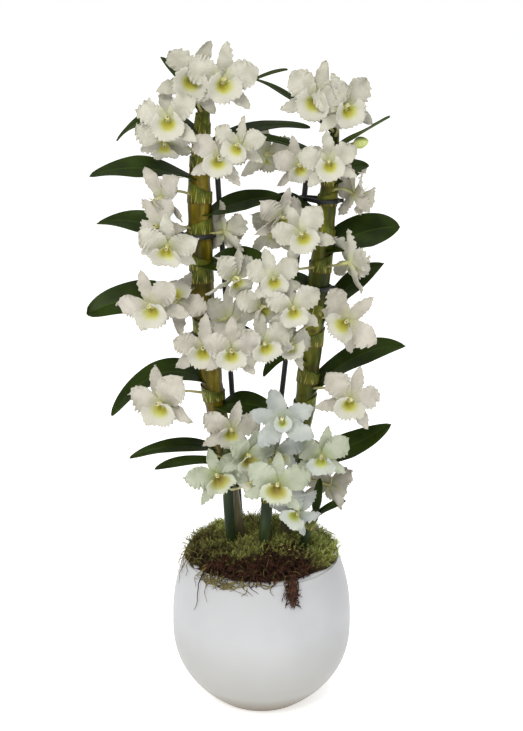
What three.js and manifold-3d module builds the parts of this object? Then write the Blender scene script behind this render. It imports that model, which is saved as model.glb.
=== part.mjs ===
// Dendrobium nobile orchid in a round glazed pot: two tall flowering canes and three short ones
// stand in bark under a mat of moss, each tall cane clipped to a black stake, with some forty
// white blooms facing the front. Millimetres, +Z up, the front is -Y, the origin is the middle
// of the pot's flat foot.
import * as THREE from "three";
import { mergeVertices } from "three/addons/utils/BufferGeometryUtils.js";
import Module from "manifold-3d";

const wasm = await Module();
wasm.setup();

// ---------------------------------------------------------------- driving dimensions
const POT = { radius: 78.5, widestAt: 70, foot: 40, mouth: 66, height: 135, wall: 5, floor: 7 };
const GAP = 0.35; // running clearance between neighbouring pieces
const EDGE_ROOM = 3; // a thin edge is given this many times the clearance ahead of it,
const FACE_ROOM = 1.8; // and a blade this many times the clearance over its faces
const MIX_TOP = 125; // the bark stops this far up the pot, and the moss lies on it
const STEM_FOOT = 78; // canes and stakes reach down into the bark to about this height
const MOSS = { crown: 15, overhang: 1.2, edge: 4 };
const STAKE_RADIUS = 2.3;
const CLIP = { wall: 1.7, height: 3.6, slack: 0.5 };
const LEAF_THICKNESS = 1.3;
const TEPAL_THICKNESS = 1.1;
const LIP_THICKNESS = 0.9;
const CANE_SIDES = 7;
const NODE_SPACING = 18;
const POT_SIDES = 28;

// Colours of the finishes.
const COLOURS = {
  pot: { color: 0xe9e9e7, roughness: 0.35 },
  mix: { color: 0x3d2a1c, roughness: 0.95 },
  moss: { color: 0x5f6b2c, roughness: 0.95 },
  cane: { color: 0x6f7a33, roughness: 0.5 },
  leafy: { color: 0x33481f, roughness: 0.45 },
  stake: { color: 0x17171a, roughness: 0.5 },
  bloom: { color: 0xf1efe6, roughness: 0.6 },
  bud: { color: 0xc9cf7a, roughness: 0.6 },
};

// Each stem's middle line is a cubic curve through the air, from its foot to its tip, and its
// girth is a list of [height, radius]. A leaf leaves it at height z towards heading (0 is right,
// 180 is left, -90 is the front), ends reach out and fall up from there, bowed up by arch, and is
// twisted to show its upper face.
const STEMS = [
  {
    name: "cane_left",
    path: [[-12, 9, STEM_FOOT], [-16, 8, 185], [-66, 0, 300], [-45, -2, 526]],
    girth: [[78, 4.2], [160, 5.4], [215, 8], [300, 9.8], [430, 10.4], [470, 8.6], [500, 6.4], [526, 3.4]],
    leaves: [
      { z: 226, heading: 184, reach: 80, fall: -5, arch: 12, width: 17, twist: -30 },
      { z: 266, heading: -26, reach: 58, fall: 2, arch: 12, width: 24, twist: 54 },
      { z: 286, heading: 172, reach: 88, fall: -32, arch: 30, width: 27, twist: -40 },
      { z: 316, heading: 4, reach: 46, fall: 4, arch: 26, width: 18, twist: 30 },
      { z: 344, heading: 188, reach: 96, fall: 6, arch: 32, width: 36, twist: -46 },
      { z: 388, heading: -28, reach: 68, fall: 4, arch: 14, width: 29, twist: 50 },
      { z: 400, heading: 172, reach: 86, fall: 21, arch: 33, width: 24, twist: -38 },
      { z: 428, heading: -6, reach: 66, fall: 18, arch: 18, width: 24, twist: 42 },
      { z: 457, heading: 183, reach: 88, fall: 5, arch: 20, width: 25, twist: -36 },
      { z: 485, heading: 8, reach: 88, fall: 14, arch: 22, width: 19, twist: 22 },
      { z: 494, heading: 166, reach: 72, fall: -6, arch: 30, width: 21, twist: -34 },
      { z: 510, heading: 158, reach: 36, fall: 44, arch: 32, width: 13, twist: -10 },
      { z: 516, heading: -14, reach: 68, fall: 30, arch: 24, width: 12, twist: 8 },
    ],
  },
  {
    name: "cane_right",
    path: [[6, 9, STEM_FOOT], [34, 8, 190], [44, 0, 350], [59, -2, 503]],
    girth: [[78, 4.2], [160, 5.6], [215, 7.4], [270, 9.2], [400, 9.2], [445, 7.6], [475, 5.8], [503, 3]],
    leaves: [
      { z: 215, heading: -8, reach: 80, fall: 38, arch: 12, width: 28, twist: 46 },
      { z: 246, heading: 168, reach: 44, fall: 0, arch: 26, width: 18, twist: -30 },
      { z: 277, heading: 10, reach: 86, fall: 38, arch: 44, width: 25, twist: 42 },
      { z: 302, heading: 196, reach: 40, fall: -6, arch: 30, width: 18, twist: -36 },
      { z: 335, heading: 14, reach: 60, fall: 52, arch: 44, width: 23, twist: 36 },
      { z: 362, heading: 160, reach: 36, fall: 4, arch: 24, width: 18, twist: -30 },
      { z: 399, heading: 6, reach: 64, fall: 20, arch: 22, width: 36, twist: 50 },
      { z: 426, heading: 182, reach: 50, fall: 16, arch: 18, width: 23, twist: -30 },
      { z: 452, heading: 24, reach: 36, fall: 16, arch: 20, width: 20, twist: 40 },
      { z: 470, heading: 190, reach: 64, fall: 24, arch: 22, width: 18, twist: -20 },
      { z: 482, heading: -52, reach: 64, fall: 31, arch: 18, width: 12, twist: 14 },
      { z: 494, heading: 172, reach: 66, fall: 44, arch: 34, width: 13, twist: -8 },
    ],
  },
  {
    name: "cane_short_left",
    path: [[-15, -6, STEM_FOOT], [-29, -8, 130], [-30, -8, 190], [-27, -10, 250]],
    girth: [[78, 3.4], [150, 4], [200, 5.2], [236, 4.6], [250, 3]],
    leaves: [
      { z: 219, heading: 192, reach: 63, fall: 0, arch: 10, width: 13, twist: -22 },
      { z: 236, heading: 40, reach: 34, fall: 14, arch: 26, width: 14, twist: 24 },
    ],
  },
  {
    name: "cane_short_right",
    path: [[0, -10, STEM_FOOT], [0, -12, 130], [4, -12, 190], [12, -14, 252]],
    girth: [[78, 3.8], [150, 4.8], [205, 5.6], [236, 4.6], [252, 3]],
    leaves: [
      { z: 196, heading: 214, reach: 32, fall: 10, arch: 26, width: 13, twist: -20 },
      { z: 228, heading: -34, reach: 36, fall: 8, arch: 26, width: 15, twist: 26 },
    ],
  },
  {
    name: "shoot_right",
    path: [[20, -6, STEM_FOOT], [26, -14, 130], [40, -20, 160], [47, -20, 184]],
    girth: [[78, 3], [130, 3.6], [170, 3.8], [184, 2.6]],
    leaves: [
      { z: 174, heading: 8, reach: 28, fall: 14, arch: 12, width: 9, twist: 20 },
      { z: 180, heading: 50, reach: 6, fall: 28, arch: 16, width: 9, twist: 10 },
    ],
  },
];

// A stake stands behind each tall cane: [foot, top].
const STAKES = [
  { name: "stake_left", foot: [-14, 18, STEM_FOOT], top: [-36, 15, 462] },
  { name: "stake_right", foot: [-3, 18, STEM_FOOT], top: [37, 15, 462] },
];

// A clip goes round a cane and its stake.
const CLIPS = [
  { name: "clip_left_upper", stem: "cane_left", stake: "stake_left", z: 414 },
  { name: "clip_left_lower", stem: "cane_left", stake: "stake_left", z: 330 },
  { name: "clip_right_upper", stem: "cane_right", stake: "stake_right", z: 442 },
  { name: "clip_right_lower", stem: "cane_right", stake: "stake_right", z: 370 },
];

// Where each bloom sits: the stem it grows on, the height of its stalk's root, the place of its
// throat [x, y, z], where it looks (yaw turns it to the right, pitch lifts it, roll leans its top
// to the right) and its size against a bloom 55 mm across.
const BLOOMS = [
  ["bloom_01", "cane_left", 512, [-54, -36, 536], 6, 6, 24, 1.03],
  ["bloom_02", "cane_left", 518, [-30, -44, 534], 16, 8, 8, 1.0],
  ["bloom_03", "cane_left", 494, [-70, -50, 507], -2, 2, -3, 0.95],
  ["bloom_04", "cane_left", 478, [-75, -24, 489], 0, -42, 0, 0.86],
  ["bloom_05", "cane_left", 466, [-33, -48, 478], 0, -2, 10, 0.87],
  ["bloom_06", "cane_left", 476, [-17, -60, 489], -24, 0, 8, 0.78],
  ["bloom_07", "cane_right", 470, [4, 26, 472], 168, 0, 0, 0.9],
  ["bloom_08", "cane_right", 462, [30, -22, 470], 8, -12, -12, 0.78],
  ["bloom_09", "cane_left", 444, [-77, -22, 443], -52, -16, -10, 0.95],
  ["bloom_10", "cane_left", 418, [-78, -36, 423], -32, 10, -38, 0.86],
  ["bloom_11", "cane_left", 406, [-73, -56, 412], -4, -22, 10, 0.95],
  ["bloom_12", "cane_left", 373, [-70, -30, 369], 12, 36, 172, 0.95],
  ["bloom_13", "cane_left", 350, [-84, -52, 363], -14, -4, -24, 1.0],
  ["bloom_14", "cane_left", 326, [-46, -42, 326], -4, 0, -2, 0.94],
  ["bloom_15", "cane_left", 336, [-24, -60, 329], 4, 0, 4, 0.9],
  ["bloom_16", "cane_right", 342, [3, -56, 334], 8, 0, -14, 0.88],
  ["bloom_17", "cane_right", 340, [21, -40, 329], 26, 24, 30, 0.8],
  ["bloom_18", "cane_right", 356, [25, -56, 363], 4, -6, -4, 0.86],
  ["bloom_19", "cane_right", 360, [0, -40, 360], 35, 0, 0, 0.8],
  ["bloom_20", "cane_right", 388, [10, -54, 386], 0, 2, -8, 0.82],
  ["bloom_21", "cane_right", 422, [33, -50, 420], -2, 2, -24, 0.88],
  ["bloom_22", "cane_right", 430, [14, -28, 429], 26, -6, 8, 0.86],
  ["bloom_23", "cane_right", 410, [8, 24, 408], 162, 4, 0, 0.86],
  ["bloom_24", "cane_left", 414, [-30, -6, 414], 140, 10, 0, 0.86],
  ["bloom_25", "cane_left", 388, [-22, -38, 383], 40, -10, 0, 0.86],
  ["bloom_26", "cane_left", 342, [-27, -20, 346], 165, 0, 0, 0.9],
  ["bloom_27", "cane_right", 496, [41, -30, 520], -12, 6, 14, 1.0],
  ["bloom_28", "cane_right", 494, [65, -36, 515], 14, 4, -12, 0.94],
  ["bloom_29", "cane_right", 466, [52, -50, 475], -2, 4, -8, 0.84],
  ["bloom_30", "cane_right", 448, [73, -22, 447], 116, -4, 10, 0.95],
  ["bloom_31", "cane_right", 388, [70, -20, 392], 120, 12, -20, 0.95],
  ["bloom_32", "cane_right", 346, [66, -36, 348], -22, 0, 47, 0.98],
  ["bloom_33", "cane_right", 282, [70, -42, 283], 6, 2, 20, 0.96],
  ["bloom_34", "cane_short_right", 246, [17, -64, 272], 0, 22, -8, 0.93],
  ["bloom_35", "cane_right", 238, [49, -46, 236], -6, -8, 0, 0.9],
  ["bloom_36", "cane_short_right", 206, [12, -74, 222], -2, 4, 10, 0.95],
  ["bloom_37", "cane_short_right", 184, [27, -52, 191], -10, -5, 50, 0.82],
  ["bloom_38", "cane_left", 256, [-25, -44, 258], 4, 0, 10, 0.88],
  ["bloom_39", "cane_short_left", 212, [-35, -54, 223], 12, -2, -22, 0.92],
  ["bloom_40", "cane_short_left", 238, [-13, -60, 243], 30, -10, 14, 0.8],
  ["bloom_41", "cane_short_right", 232, [11, -48, 241], 10, -6, 0, 0.84],
  ["bloom_42", "cane_left", 278, [-79, -46, 281], -20, -4, -20, 1.08],
  ["bloom_43", "cane_right", 200, [58, -8, 196], 140, -6, 0, 0.85],
  ["bloom_44", "cane_short_left", 196, [-5, -48, 216], -50, -10, 0, 0.75],
];
const BUD = { name: "buds_right", stem: "cane_right", z: 484, tip: [73, -17, 489], size: [16.5, 5.2] };

// A bloom of size 1, seen from its front with its dorsal sepal up. Each tepal is a row of
// [reach, half width, forward], and they are listed clockwise by the angle they point to.
const SEPAL = [[9, 4.6, -0.6], [18.5, 5.6, -2.2], [28.5, 0, -4.8]];
const PETAL = [[8, 5.2, 0.8], [16.5, 10.4, 2.2], [23.5, 8, 1.6], [27.5, 0, 0.4]];
const TEPALS = [
  { angle: 90, row: SEPAL, ruffle: 0.3 },
  { angle: 27, row: PETAL, ruffle: 1.3 },
  { angle: -38, row: SEPAL, ruffle: 0.3 },
  { angle: -90, lip: true },
  { angle: -142, row: SEPAL, ruffle: 0.3 },
  { angle: 153, row: PETAL, ruffle: 1.3 },
];
const HUB = { radius: 3, half: 1.4, above: 4 }; // above: over the throat
// The lip is a trumpet open at the top: [distance along its axis, radius, flare in degrees].
const LIP = { droop: 22, steps: 4, rows: [[5.2, 4, 14], [11.2, 12, 62]], open: [125, 146] };
const COLUMN = { length: 9.5, root: 1.7, tip: 1.4, lift: 1.4 };
const STALK = { radii: [1.3, 1.15, 1.9] }; // in the cane, in the air and behind the hub

const X = new THREE.Vector3(1, 0, 0);
const UP = new THREE.Vector3(0, 0, 1);
const vec = (p) => new THREE.Vector3(...p);
const rad = THREE.MathUtils.degToRad;

// ---------------------------------------------------------------- solids from meshes
/** Six times the volume inside a closed list of triangles, negative where it is inside out. */
function signedVolume(points, faces) {
  let sum = 0;
  for (let i = 0; i < faces.length; i += 3) {
    const [a, b, c] = [0, 1, 2].map((k) => points[faces[i + k]]);
    sum += a.dot(b.clone().cross(c));
  }
  return sum;
}

/** A solid from points and triangles, turned so that its faces look out. */
function solidFrom(points, faces) {
  const outwards = signedVolume(points, faces) > 0;
  const triVerts = new Uint32Array(faces);
  if (!outwards)
    for (let i = 0; i < triVerts.length; i += 3)
      [triVerts[i + 1], triVerts[i + 2]] = [triVerts[i + 2], triVerts[i + 1]];
  const vertProperties = new Float32Array(points.flatMap((p) => [p.x, p.y, p.z]));
  return new wasm.Manifold(new wasm.Mesh({ numProp: 3, vertProperties, triVerts }));
}

/** A solid from a three.js geometry with closed sides. */
function solidOf(geometry) {
  const bare = geometry.clone();
  bare.deleteAttribute("normal");
  bare.deleteAttribute("uv");
  const merged = mergeVertices(bare, 1e-3);
  const place = merged.getAttribute("position");
  const points = Array.from({ length: place.count }, (_, i) =>
    new THREE.Vector3().fromBufferAttribute(place, i),
  );
  const faces = [];
  for (let i = 0; i < merged.index.count; i += 3) {
    const [a, b, c] = [0, 1, 2].map((k) => merged.index.getX(i + k));
    if (a !== b && b !== c && c !== a) faces.push(a, b, c);
  }
  return solidFrom(points, faces);
}

/** The geometry of a solid, in its own place. */
function geometryOf(solid) {
  const mesh = solid.getMesh();
  const place = new Float32Array(mesh.numVert * 3);
  for (let i = 0; i < mesh.numVert; i++)
    place.set(mesh.vertProperties.subarray(i * mesh.numProp, i * mesh.numProp + 3), i * 3);
  const geometry = new THREE.BufferGeometry();
  geometry.setAttribute("position", new THREE.BufferAttribute(place, 3));
  geometry.setIndex(new THREE.BufferAttribute(mesh.triVerts, 1));
  geometry.computeVertexNormals();
  return geometry;
}

/** The largest body of a solid: a cut may leave scraps of petal, which are dropped, and so is
 * what hangs on by less than a mesh of 32-bit numbers can hold. */
function largestBody(solid) {
  const largest = (one) => one.decompose().reduce((a, b) => (b.volume() > a.volume() ? b : a));
  return largest(solidOf(geometryOf(largest(solid))));
}

/** Cuts each tool that reaches the solid out of it. */
function cutClear(solid, tools) {
  return tools
    .filter((tool) => boxesMeet(solid.boundingBox(), tool.boundingBox()))
    .reduce((left, tool) => left.subtract(tool), solid);
}

function boxesMeet(a, b) {
  return [0, 1, 2].every((k) => a.min[k] <= b.max[k] && b.min[k] <= a.max[k]);
}

/** Joins rings of the same number of points into one closed surface, up to a tip if given. */
function loft(rings, tip) {
  const n = rings[0].length;
  const points = rings.flat();
  const faces = [];
  joinRings(rings.map((ring, i) => ring.map((_, j) => i * n + j)), faces);
  for (let j = 2; j < n; j++) faces.push(1, (j + 1) % n, j);
  const last = (rings.length - 1) * n;
  if (tip) {
    points.push(tip);
    for (let j = 0; j < n; j++) faces.push(last + j, last + ((j + 1) % n), points.length - 1);
  } else for (let j = 2; j < n; j++) faces.push(last + 1, last + j, last + ((j + 1) % n));
  return solidFrom(points, faces);
}

/** Sides between rings of the same number of points, with the diagonals of a blade's two faces
 * leaning the same way. */
function joinRings(rings, faces) {
  const n = rings[0].length;
  for (let i = 0; i + 1 < rings.length; i++)
    for (let j = 0; j < n; j++) {
      const [a, b] = [rings[i][j], rings[i][(j + 1) % n]];
      const [c, d] = [rings[i + 1][(j + 1) % n], rings[i + 1][j]];
      if (j < n / 2) faces.push(a, b, c, a, c, d);
      else faces.push(a, b, d, b, c, d);
    }
}

/** A round ring of n points about a centre, in the plane across a direction. */
function ringAcross(centre, along, radius, n) {
  const side = new THREE.Vector3().crossVectors(along, Math.abs(along.z) > 0.9 ? X : UP).normalize();
  const other = new THREE.Vector3().crossVectors(along, side).normalize();
  return Array.from({ length: n }, (_, j) => {
    const turn = (2 * Math.PI * (j + 0.5)) / n;
    return centre
      .clone()
      .addScaledVector(side, radius * Math.cos(turn))
      .addScaledVector(other, radius * Math.sin(turn));
  });
}

// ---------------------------------------------------------------- pot, bark and moss
/** The outside radius of the pot at a height: full below, drawn in a little to the mouth. */
function potRadius(z) {
  if (z < POT.widestAt) {
    const below = 1 - z / POT.widestAt;
    return POT.foot + (POT.radius - POT.foot) * (1 - below ** 2.5);
  }
  const above = (z - POT.widestAt) / (POT.height - POT.widestAt);
  return POT.radius - (POT.radius - POT.mouth) * above ** 2.4;
}

/** The pot's outline from the middle of its foot up the outside, over the lip and down inside. */
function potOutline(grow = 0) {
  const outside = [0, 4, 12, 26, 46, 70, 94, 114, 131].map((z) => [potRadius(z) + grow, z]);
  outside[0][0] -= 3; // the foot's edge is eased
  const inside = [104, 70, 34, 14].map((z) => [potRadius(z) - POT.wall - grow, z]);
  return [
    [0, 0],
    ...outside,
    [POT.mouth - 1.2 + grow, POT.height + grow],
    [POT.mouth - POT.wall + 1.2 - grow, POT.height + grow],
    [potRadius(131) - POT.wall - grow, 131],
    ...inside,
    [potRadius(POT.floor) - POT.wall - 3, POT.floor],
    [0, POT.floor],
  ];
}

function turned(outline, sides) {
  return solidOf(new THREE.LatheGeometry(outline.map((p) => new THREE.Vector2(...p)), sides)
    .rotateX(Math.PI / 2));
}

/** Bark mix that fills the pot up to the moss. */
function mixOutline() {
  const wall = [10, 30, 66, MIX_TOP].map((z) => [potRadius(z) - POT.wall - 2.6, z]);
  wall[0][0] -= 4;
  return [[0, POT.floor + GAP], [potRadius(10) - POT.wall - 8, POT.floor + GAP], ...wall, [0, MIX_TOP]];
}

/** Soft hummocks, in millimetres, at a place on the moss. */
function hummock(x, y) {
  return (
    2.2 * Math.sin(0.145 * x + 1.1) * Math.cos(0.16 * y + 0.4) +
    1.6 * Math.sin(0.29 * x - 0.23 * y + 2) +
    1.2 * Math.cos(0.36 * y + 0.19 * x)
  );
}

/** The moss: a domed, lumpy mat that lies on the bark and spills a little over the rim. */
function mossSolid() {
  const seat = potRadius(MIX_TOP + 4) - POT.wall - 2;
  const brim = POT.mouth + MOSS.overhang;
  const under = POT.height + GAP + 0.25;
  const outline = [
    [0, MIX_TOP + GAP],
    [seat, MIX_TOP + GAP],
    [seat, under],
    [brim, under],
    [brim + 1.5, under + 0.6 * MOSS.edge],
    ...[0.86, 0.6, 0.3, 0].map((share) => [
      brim * share,
      under + MOSS.edge + (MOSS.crown - MOSS.edge) * (1 - share ** 2),
    ]),
  ];
  const shape = new THREE.LatheGeometry(outline.map((p) => new THREE.Vector2(...p)), 22);
  shape.rotateX(Math.PI / 2);
  const place = shape.getAttribute("position");
  for (let i = 0; i < place.count; i++) {
    const [x, y, z] = [place.getX(i), place.getY(i), place.getZ(i)];
    if (z < under + 1) continue;
    const rim = Math.hypot(x, y) / brim;
    place.setXYZ(i, x * (1 + 0.012 * hummock(y, x)), y * (1 + 0.012 * hummock(y, x)),
      z + hummock(x, y) * (rim > 0.9 ? 0.35 : 1));
  }
  return strands().reduce((mat, strand) => mat.add(strand), solidOf(shape));
}

/** Roots and strands of moss that hang over the rim: [angle, length, radius, lean]. */
const STRANDS = [
  [-68, 25, 5.4, 1], [-80, 12, 3.4, -3], [-134, 32, 1.8, -4], [-158, 22, 2, -4], [-104, 10, 3, 3],
];
function strands() {
  return STRANDS.map(([angle, length, radius, lean]) => {
    const out = new THREE.Vector3(Math.cos(rad(angle)), Math.sin(rad(angle)), 0);
    const side = new THREE.Vector3(-out.y, out.x, 0);
    const route = [[-6, 4, 0], [2.5, 2.6, 0], [6.8, -0.25, 0.2], [8.8, -0.6, 0.6]].map(([r, z, drift]) =>
      out.clone().multiplyScalar(POT.mouth + r).addScaledVector(side, lean * drift)
        .setZ(POT.height + (z > 0 ? z + 1.5 : z * length)));
    const tip = out.clone().multiplyScalar(POT.mouth + 10.8).addScaledVector(side, lean)
      .setZ(POT.height - length);
    const rings = route.map((p, i) => {
      const along = (route[i + 1] ?? tip).clone().sub(route[Math.max(0, i - 1)]).normalize();
      return ringAcross(p, along, radius * [1.3, 1.3, 1, 0.8][i], 4);
    });
    return loft(rings, tip);
  });
}

// ---------------------------------------------------------------- stems and leaves
/** A point on a stem's middle line, t from 0 at the foot to 1 at the tip. */
function stemPoint(stem, t) {
  const [a, b, c, d] = stem.path;
  const s = 1 - t;
  return vec([0, 1, 2].map((k) => s ** 3 * a[k] + 3 * s * s * t * b[k] + 3 * s * t * t * c[k] + t ** 3 * d[k]));
}

/** The share along a stem's middle line at a height, by halving. */
function shareAt(stem, z) {
  let [low, high] = [0, 1];
  for (let i = 0; i < 30; i++) {
    const middle = (low + high) / 2;
    if (stemPoint(stem, middle).z < z) low = middle;
    else high = middle;
  }
  return (low + high) / 2;
}

const stemAt = (stem, z) => stemPoint(stem, shareAt(stem, z));

/** A stem's radius at a height, between the listed ones. */
function girthAt(stem, z) {
  const row = stem.girth;
  const i = Math.max(1, row.findIndex(([height]) => height >= z));
  const [[z0, r0], [z1, r1]] = [row[i - 1], row[i]];
  return r0 + (r1 - r0) * THREE.MathUtils.clamp((z - z0) / (z1 - z0), 0, 1);
}

/** A cane: swollen between its nodes and drawn in at each, with a node at a leaf wherever the
 * leaves are not crowded. */
function caneSolid(stem, grow = 0) {
  const top = stem.path[3][2];
  const nodes = [STEM_FOOT + 40];
  [...stem.leaves.map((leaf) => leaf.z), top].forEach((z) => {
    if (z - nodes.at(-1) > NODE_SPACING || z === top) nodes.push(z);
  });
  const heights = [STEM_FOOT];
  nodes.forEach((z, i) => {
    if (i) heights.push((nodes[i - 1] + z) / 2);
    heights.push(z);
  });
  const rings = heights.map((z, i) => {
    const here = stemAt(stem, z);
    const along = stemAt(stem, z + 2).sub(stemAt(stem, z - 2)).normalize();
    const swell = i % 2 ? 0.9 : 1.02;
    return ringAcross(here, along, girthAt(stem, z) * (i ? swell : 0.8) + grow, CANE_SIDES);
  });
  return loft(rings);
}

/** A leaf's middle line, and its sideways and upward directions there. */
function leafFrame(stem, leaf, t) {
  const out = new THREE.Vector3(Math.cos(rad(leaf.heading)), Math.sin(rad(leaf.heading)), 0);
  const [bow, tip] = [[0.55 * leaf.reach, leaf.arch], [leaf.reach, leaf.fall]];
  const mix = (a, b) => out.clone().multiplyScalar(a * bow[0] + b * tip[0])
    .addScaledVector(UP, a * bow[1] + b * tip[1]);
  const place = stemAt(stem, leaf.z).add(mix(2 * t * (1 - t), t * t));
  const along = mix(1 - 2 * t, t).normalize();
  const turn = rad(leaf.twist) * Math.min(1, 1.8 * t);
  const side = new THREE.Vector3().crossVectors(UP, out).applyAxisAngle(along, turn);
  return { place, side, above: new THREE.Vector3().crossVectors(along, side) };
}

/** A leaf's half width at a share of its length: clasping at the root, widest near the middle. */
function leafHalfWidth(leaf, t) {
  const blade = Math.sin(Math.PI * Math.min(1, 0.1 + 0.9 * t) ** 0.82) ** 0.72;
  return (leaf.width / 2) * blade;
}

/** A leaf blade with a shallow channel along its midrib. */
function leafSolid(stem, leaf, grow = 0) {
  const half = LEAF_THICKNESS / 2 + FACE_ROOM * grow;
  const rings = [0.03, 0.24, 0.48, 0.72, 0.9].map((t) => {
    const { place, side, above } = leafFrame(stem, leaf, t);
    const width = leafHalfWidth(leaf, t) + EDGE_ROOM * grow;
    const fold = 0.16 * width;
    return [
      place.clone().addScaledVector(side, -width).addScaledVector(above, fold),
      place.clone().addScaledVector(above, half),
      place.clone().addScaledVector(side, width).addScaledVector(above, fold),
      place.clone().addScaledVector(above, -half),
    ];
  });
  return loft(rings, leafFrame(stem, leaf, 1 + (EDGE_ROOM * grow) / leaf.reach).place);
}

function stemSolid(stem, grow = 0) {
  return stem.leaves.reduce((all, leaf) => all.add(leafSolid(stem, leaf, grow)), caneSolid(stem, grow));
}

// ---------------------------------------------------------------- stakes and clips
const stakeLine = (stake, z) => {
  const [foot, top] = [vec(stake.foot), vec(stake.top)];
  return foot.lerp(top, (z - stake.foot[2]) / (stake.top[2] - stake.foot[2]));
};

function stakeSolid(stake, grow = 0) {
  const along = vec(stake.top).sub(vec(stake.foot)).normalize();
  const rings = [stake.foot, stake.top].map((p) => ringAcross(vec(p), along, STAKE_RADIUS + grow, 8));
  return loft(rings);
}

/** The outline of a band pulled tight round two circles, as [x, y] points. */
function bandOutline(a, ra, b, rb, steps) {
  const [dx, dy] = [b.x - a.x, b.y - a.y];
  const facing = Math.atan2(dy, dx);
  const open = Math.acos((ra - rb) / Math.hypot(dx, dy));
  const arc = (centre, radius, from, to) =>
    Array.from({ length: steps + 1 }, (_, i) => {
      const turn = from + ((to - from) * i) / steps;
      return new THREE.Vector2(centre.x + radius * Math.cos(turn), centre.y + radius * Math.sin(turn));
    });
  return [
    ...arc(a, ra, facing + open, facing + 2 * Math.PI - open),
    ...arc(b, rb, facing - open, facing + open),
  ];
}

/** A clip: a flat band round a cane and its stake. */
function clipSolid(clip, grow = 0) {
  const stem = STEMS.find((one) => one.name === clip.stem);
  const stake = STAKES.find((one) => one.name === clip.stake);
  const [a, b] = [stemAt(stem, clip.z), stakeLine(stake, clip.z)];
  const [ra, rb] = [girthAt(stem, clip.z) * 1.04 + CLIP.slack, STAKE_RADIUS + CLIP.slack];
  const outer = bandOutline(a, ra + CLIP.wall + grow, b, rb + CLIP.wall + grow, 4);
  const shape = new THREE.Shape(outer);
  shape.holes.push(new THREE.Path(bandOutline(a, ra - grow, b, rb - grow, 4)));
  const depth = CLIP.height + 2 * grow;
  const band = new THREE.ExtrudeGeometry(shape, { depth, bevelEnabled: false });
  return solidOf(band.translate(0, 0, clip.z - depth / 2));
}

// ---------------------------------------------------------------- blooms
/** A point at an angle and radius round a bloom's middle, z in front of it. */
const radial = (angle, r, z) => new THREE.Vector3(r * Math.cos(rad(angle)), r * Math.sin(rad(angle)), z);

/** The rings of a petal or sepal, each [left edge, face, right edge, back], and its tip. */
function bladeRings({ angle, row, ruffle }, grow) {
  const out = radial(angle, 1, 0);
  const side = new THREE.Vector3(out.y, -out.x, 0);
  const half = TEPAL_THICKNESS / 2 + FACE_ROOM * grow;
  const rings = row.slice(0, -1).map(([reach, width, forward], i) => {
    const at = (across, z) =>
      out.clone().multiplyScalar(reach).addScaledVector(side, across).setZ(forward + z);
    const wave = ruffle * (i % 2 ? 1 : -1);
    const edge = width + EDGE_ROOM * grow;
    return [at(-edge, wave), at(0, half), at(edge, -wave), at(0, -half)];
  });
  const [reach, , forward] = row.at(-1);
  return { rings, tip: out.clone().multiplyScalar(reach + EDGE_ROOM * grow).setZ(forward) };
}

/** The rings of the lip, each its inner skin from right to left and its outer skin back. */
function lipRings(grow) {
  const axis = new THREE.Vector3(0, -Math.sin(rad(LIP.droop)), Math.cos(rad(LIP.droop)));
  const down = new THREE.Vector3(0, -Math.cos(rad(LIP.droop)), -Math.sin(rad(LIP.droop)));
  return LIP.rows.map(([reach, radius, flare], i) => {
    const rim = i === LIP.rows.length - 1;
    const skin = (offset) =>
      Array.from({ length: LIP.steps + 1 }, (_, j) => {
        const turn = rad(LIP.open[i]) * (1 - (2 * j) / LIP.steps);
        const out = down.clone().multiplyScalar(Math.cos(turn)).addScaledVector(X, Math.sin(turn));
        const wave = rim ? (j % 2 ? 0.8 : -0.8) : 0;
        const spread = radius * (rim ? 0.8 + 0.2 * Math.cos(turn) : 1);
        return axis.clone().multiplyScalar(reach + wave - offset * Math.sin(rad(flare)))
          .addScaledVector(out, spread + offset * Math.cos(rad(flare)));
      });
    return [...skin(-grow), ...skin(LIP_THICKNESS + grow).reverse()];
  });
}

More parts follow.
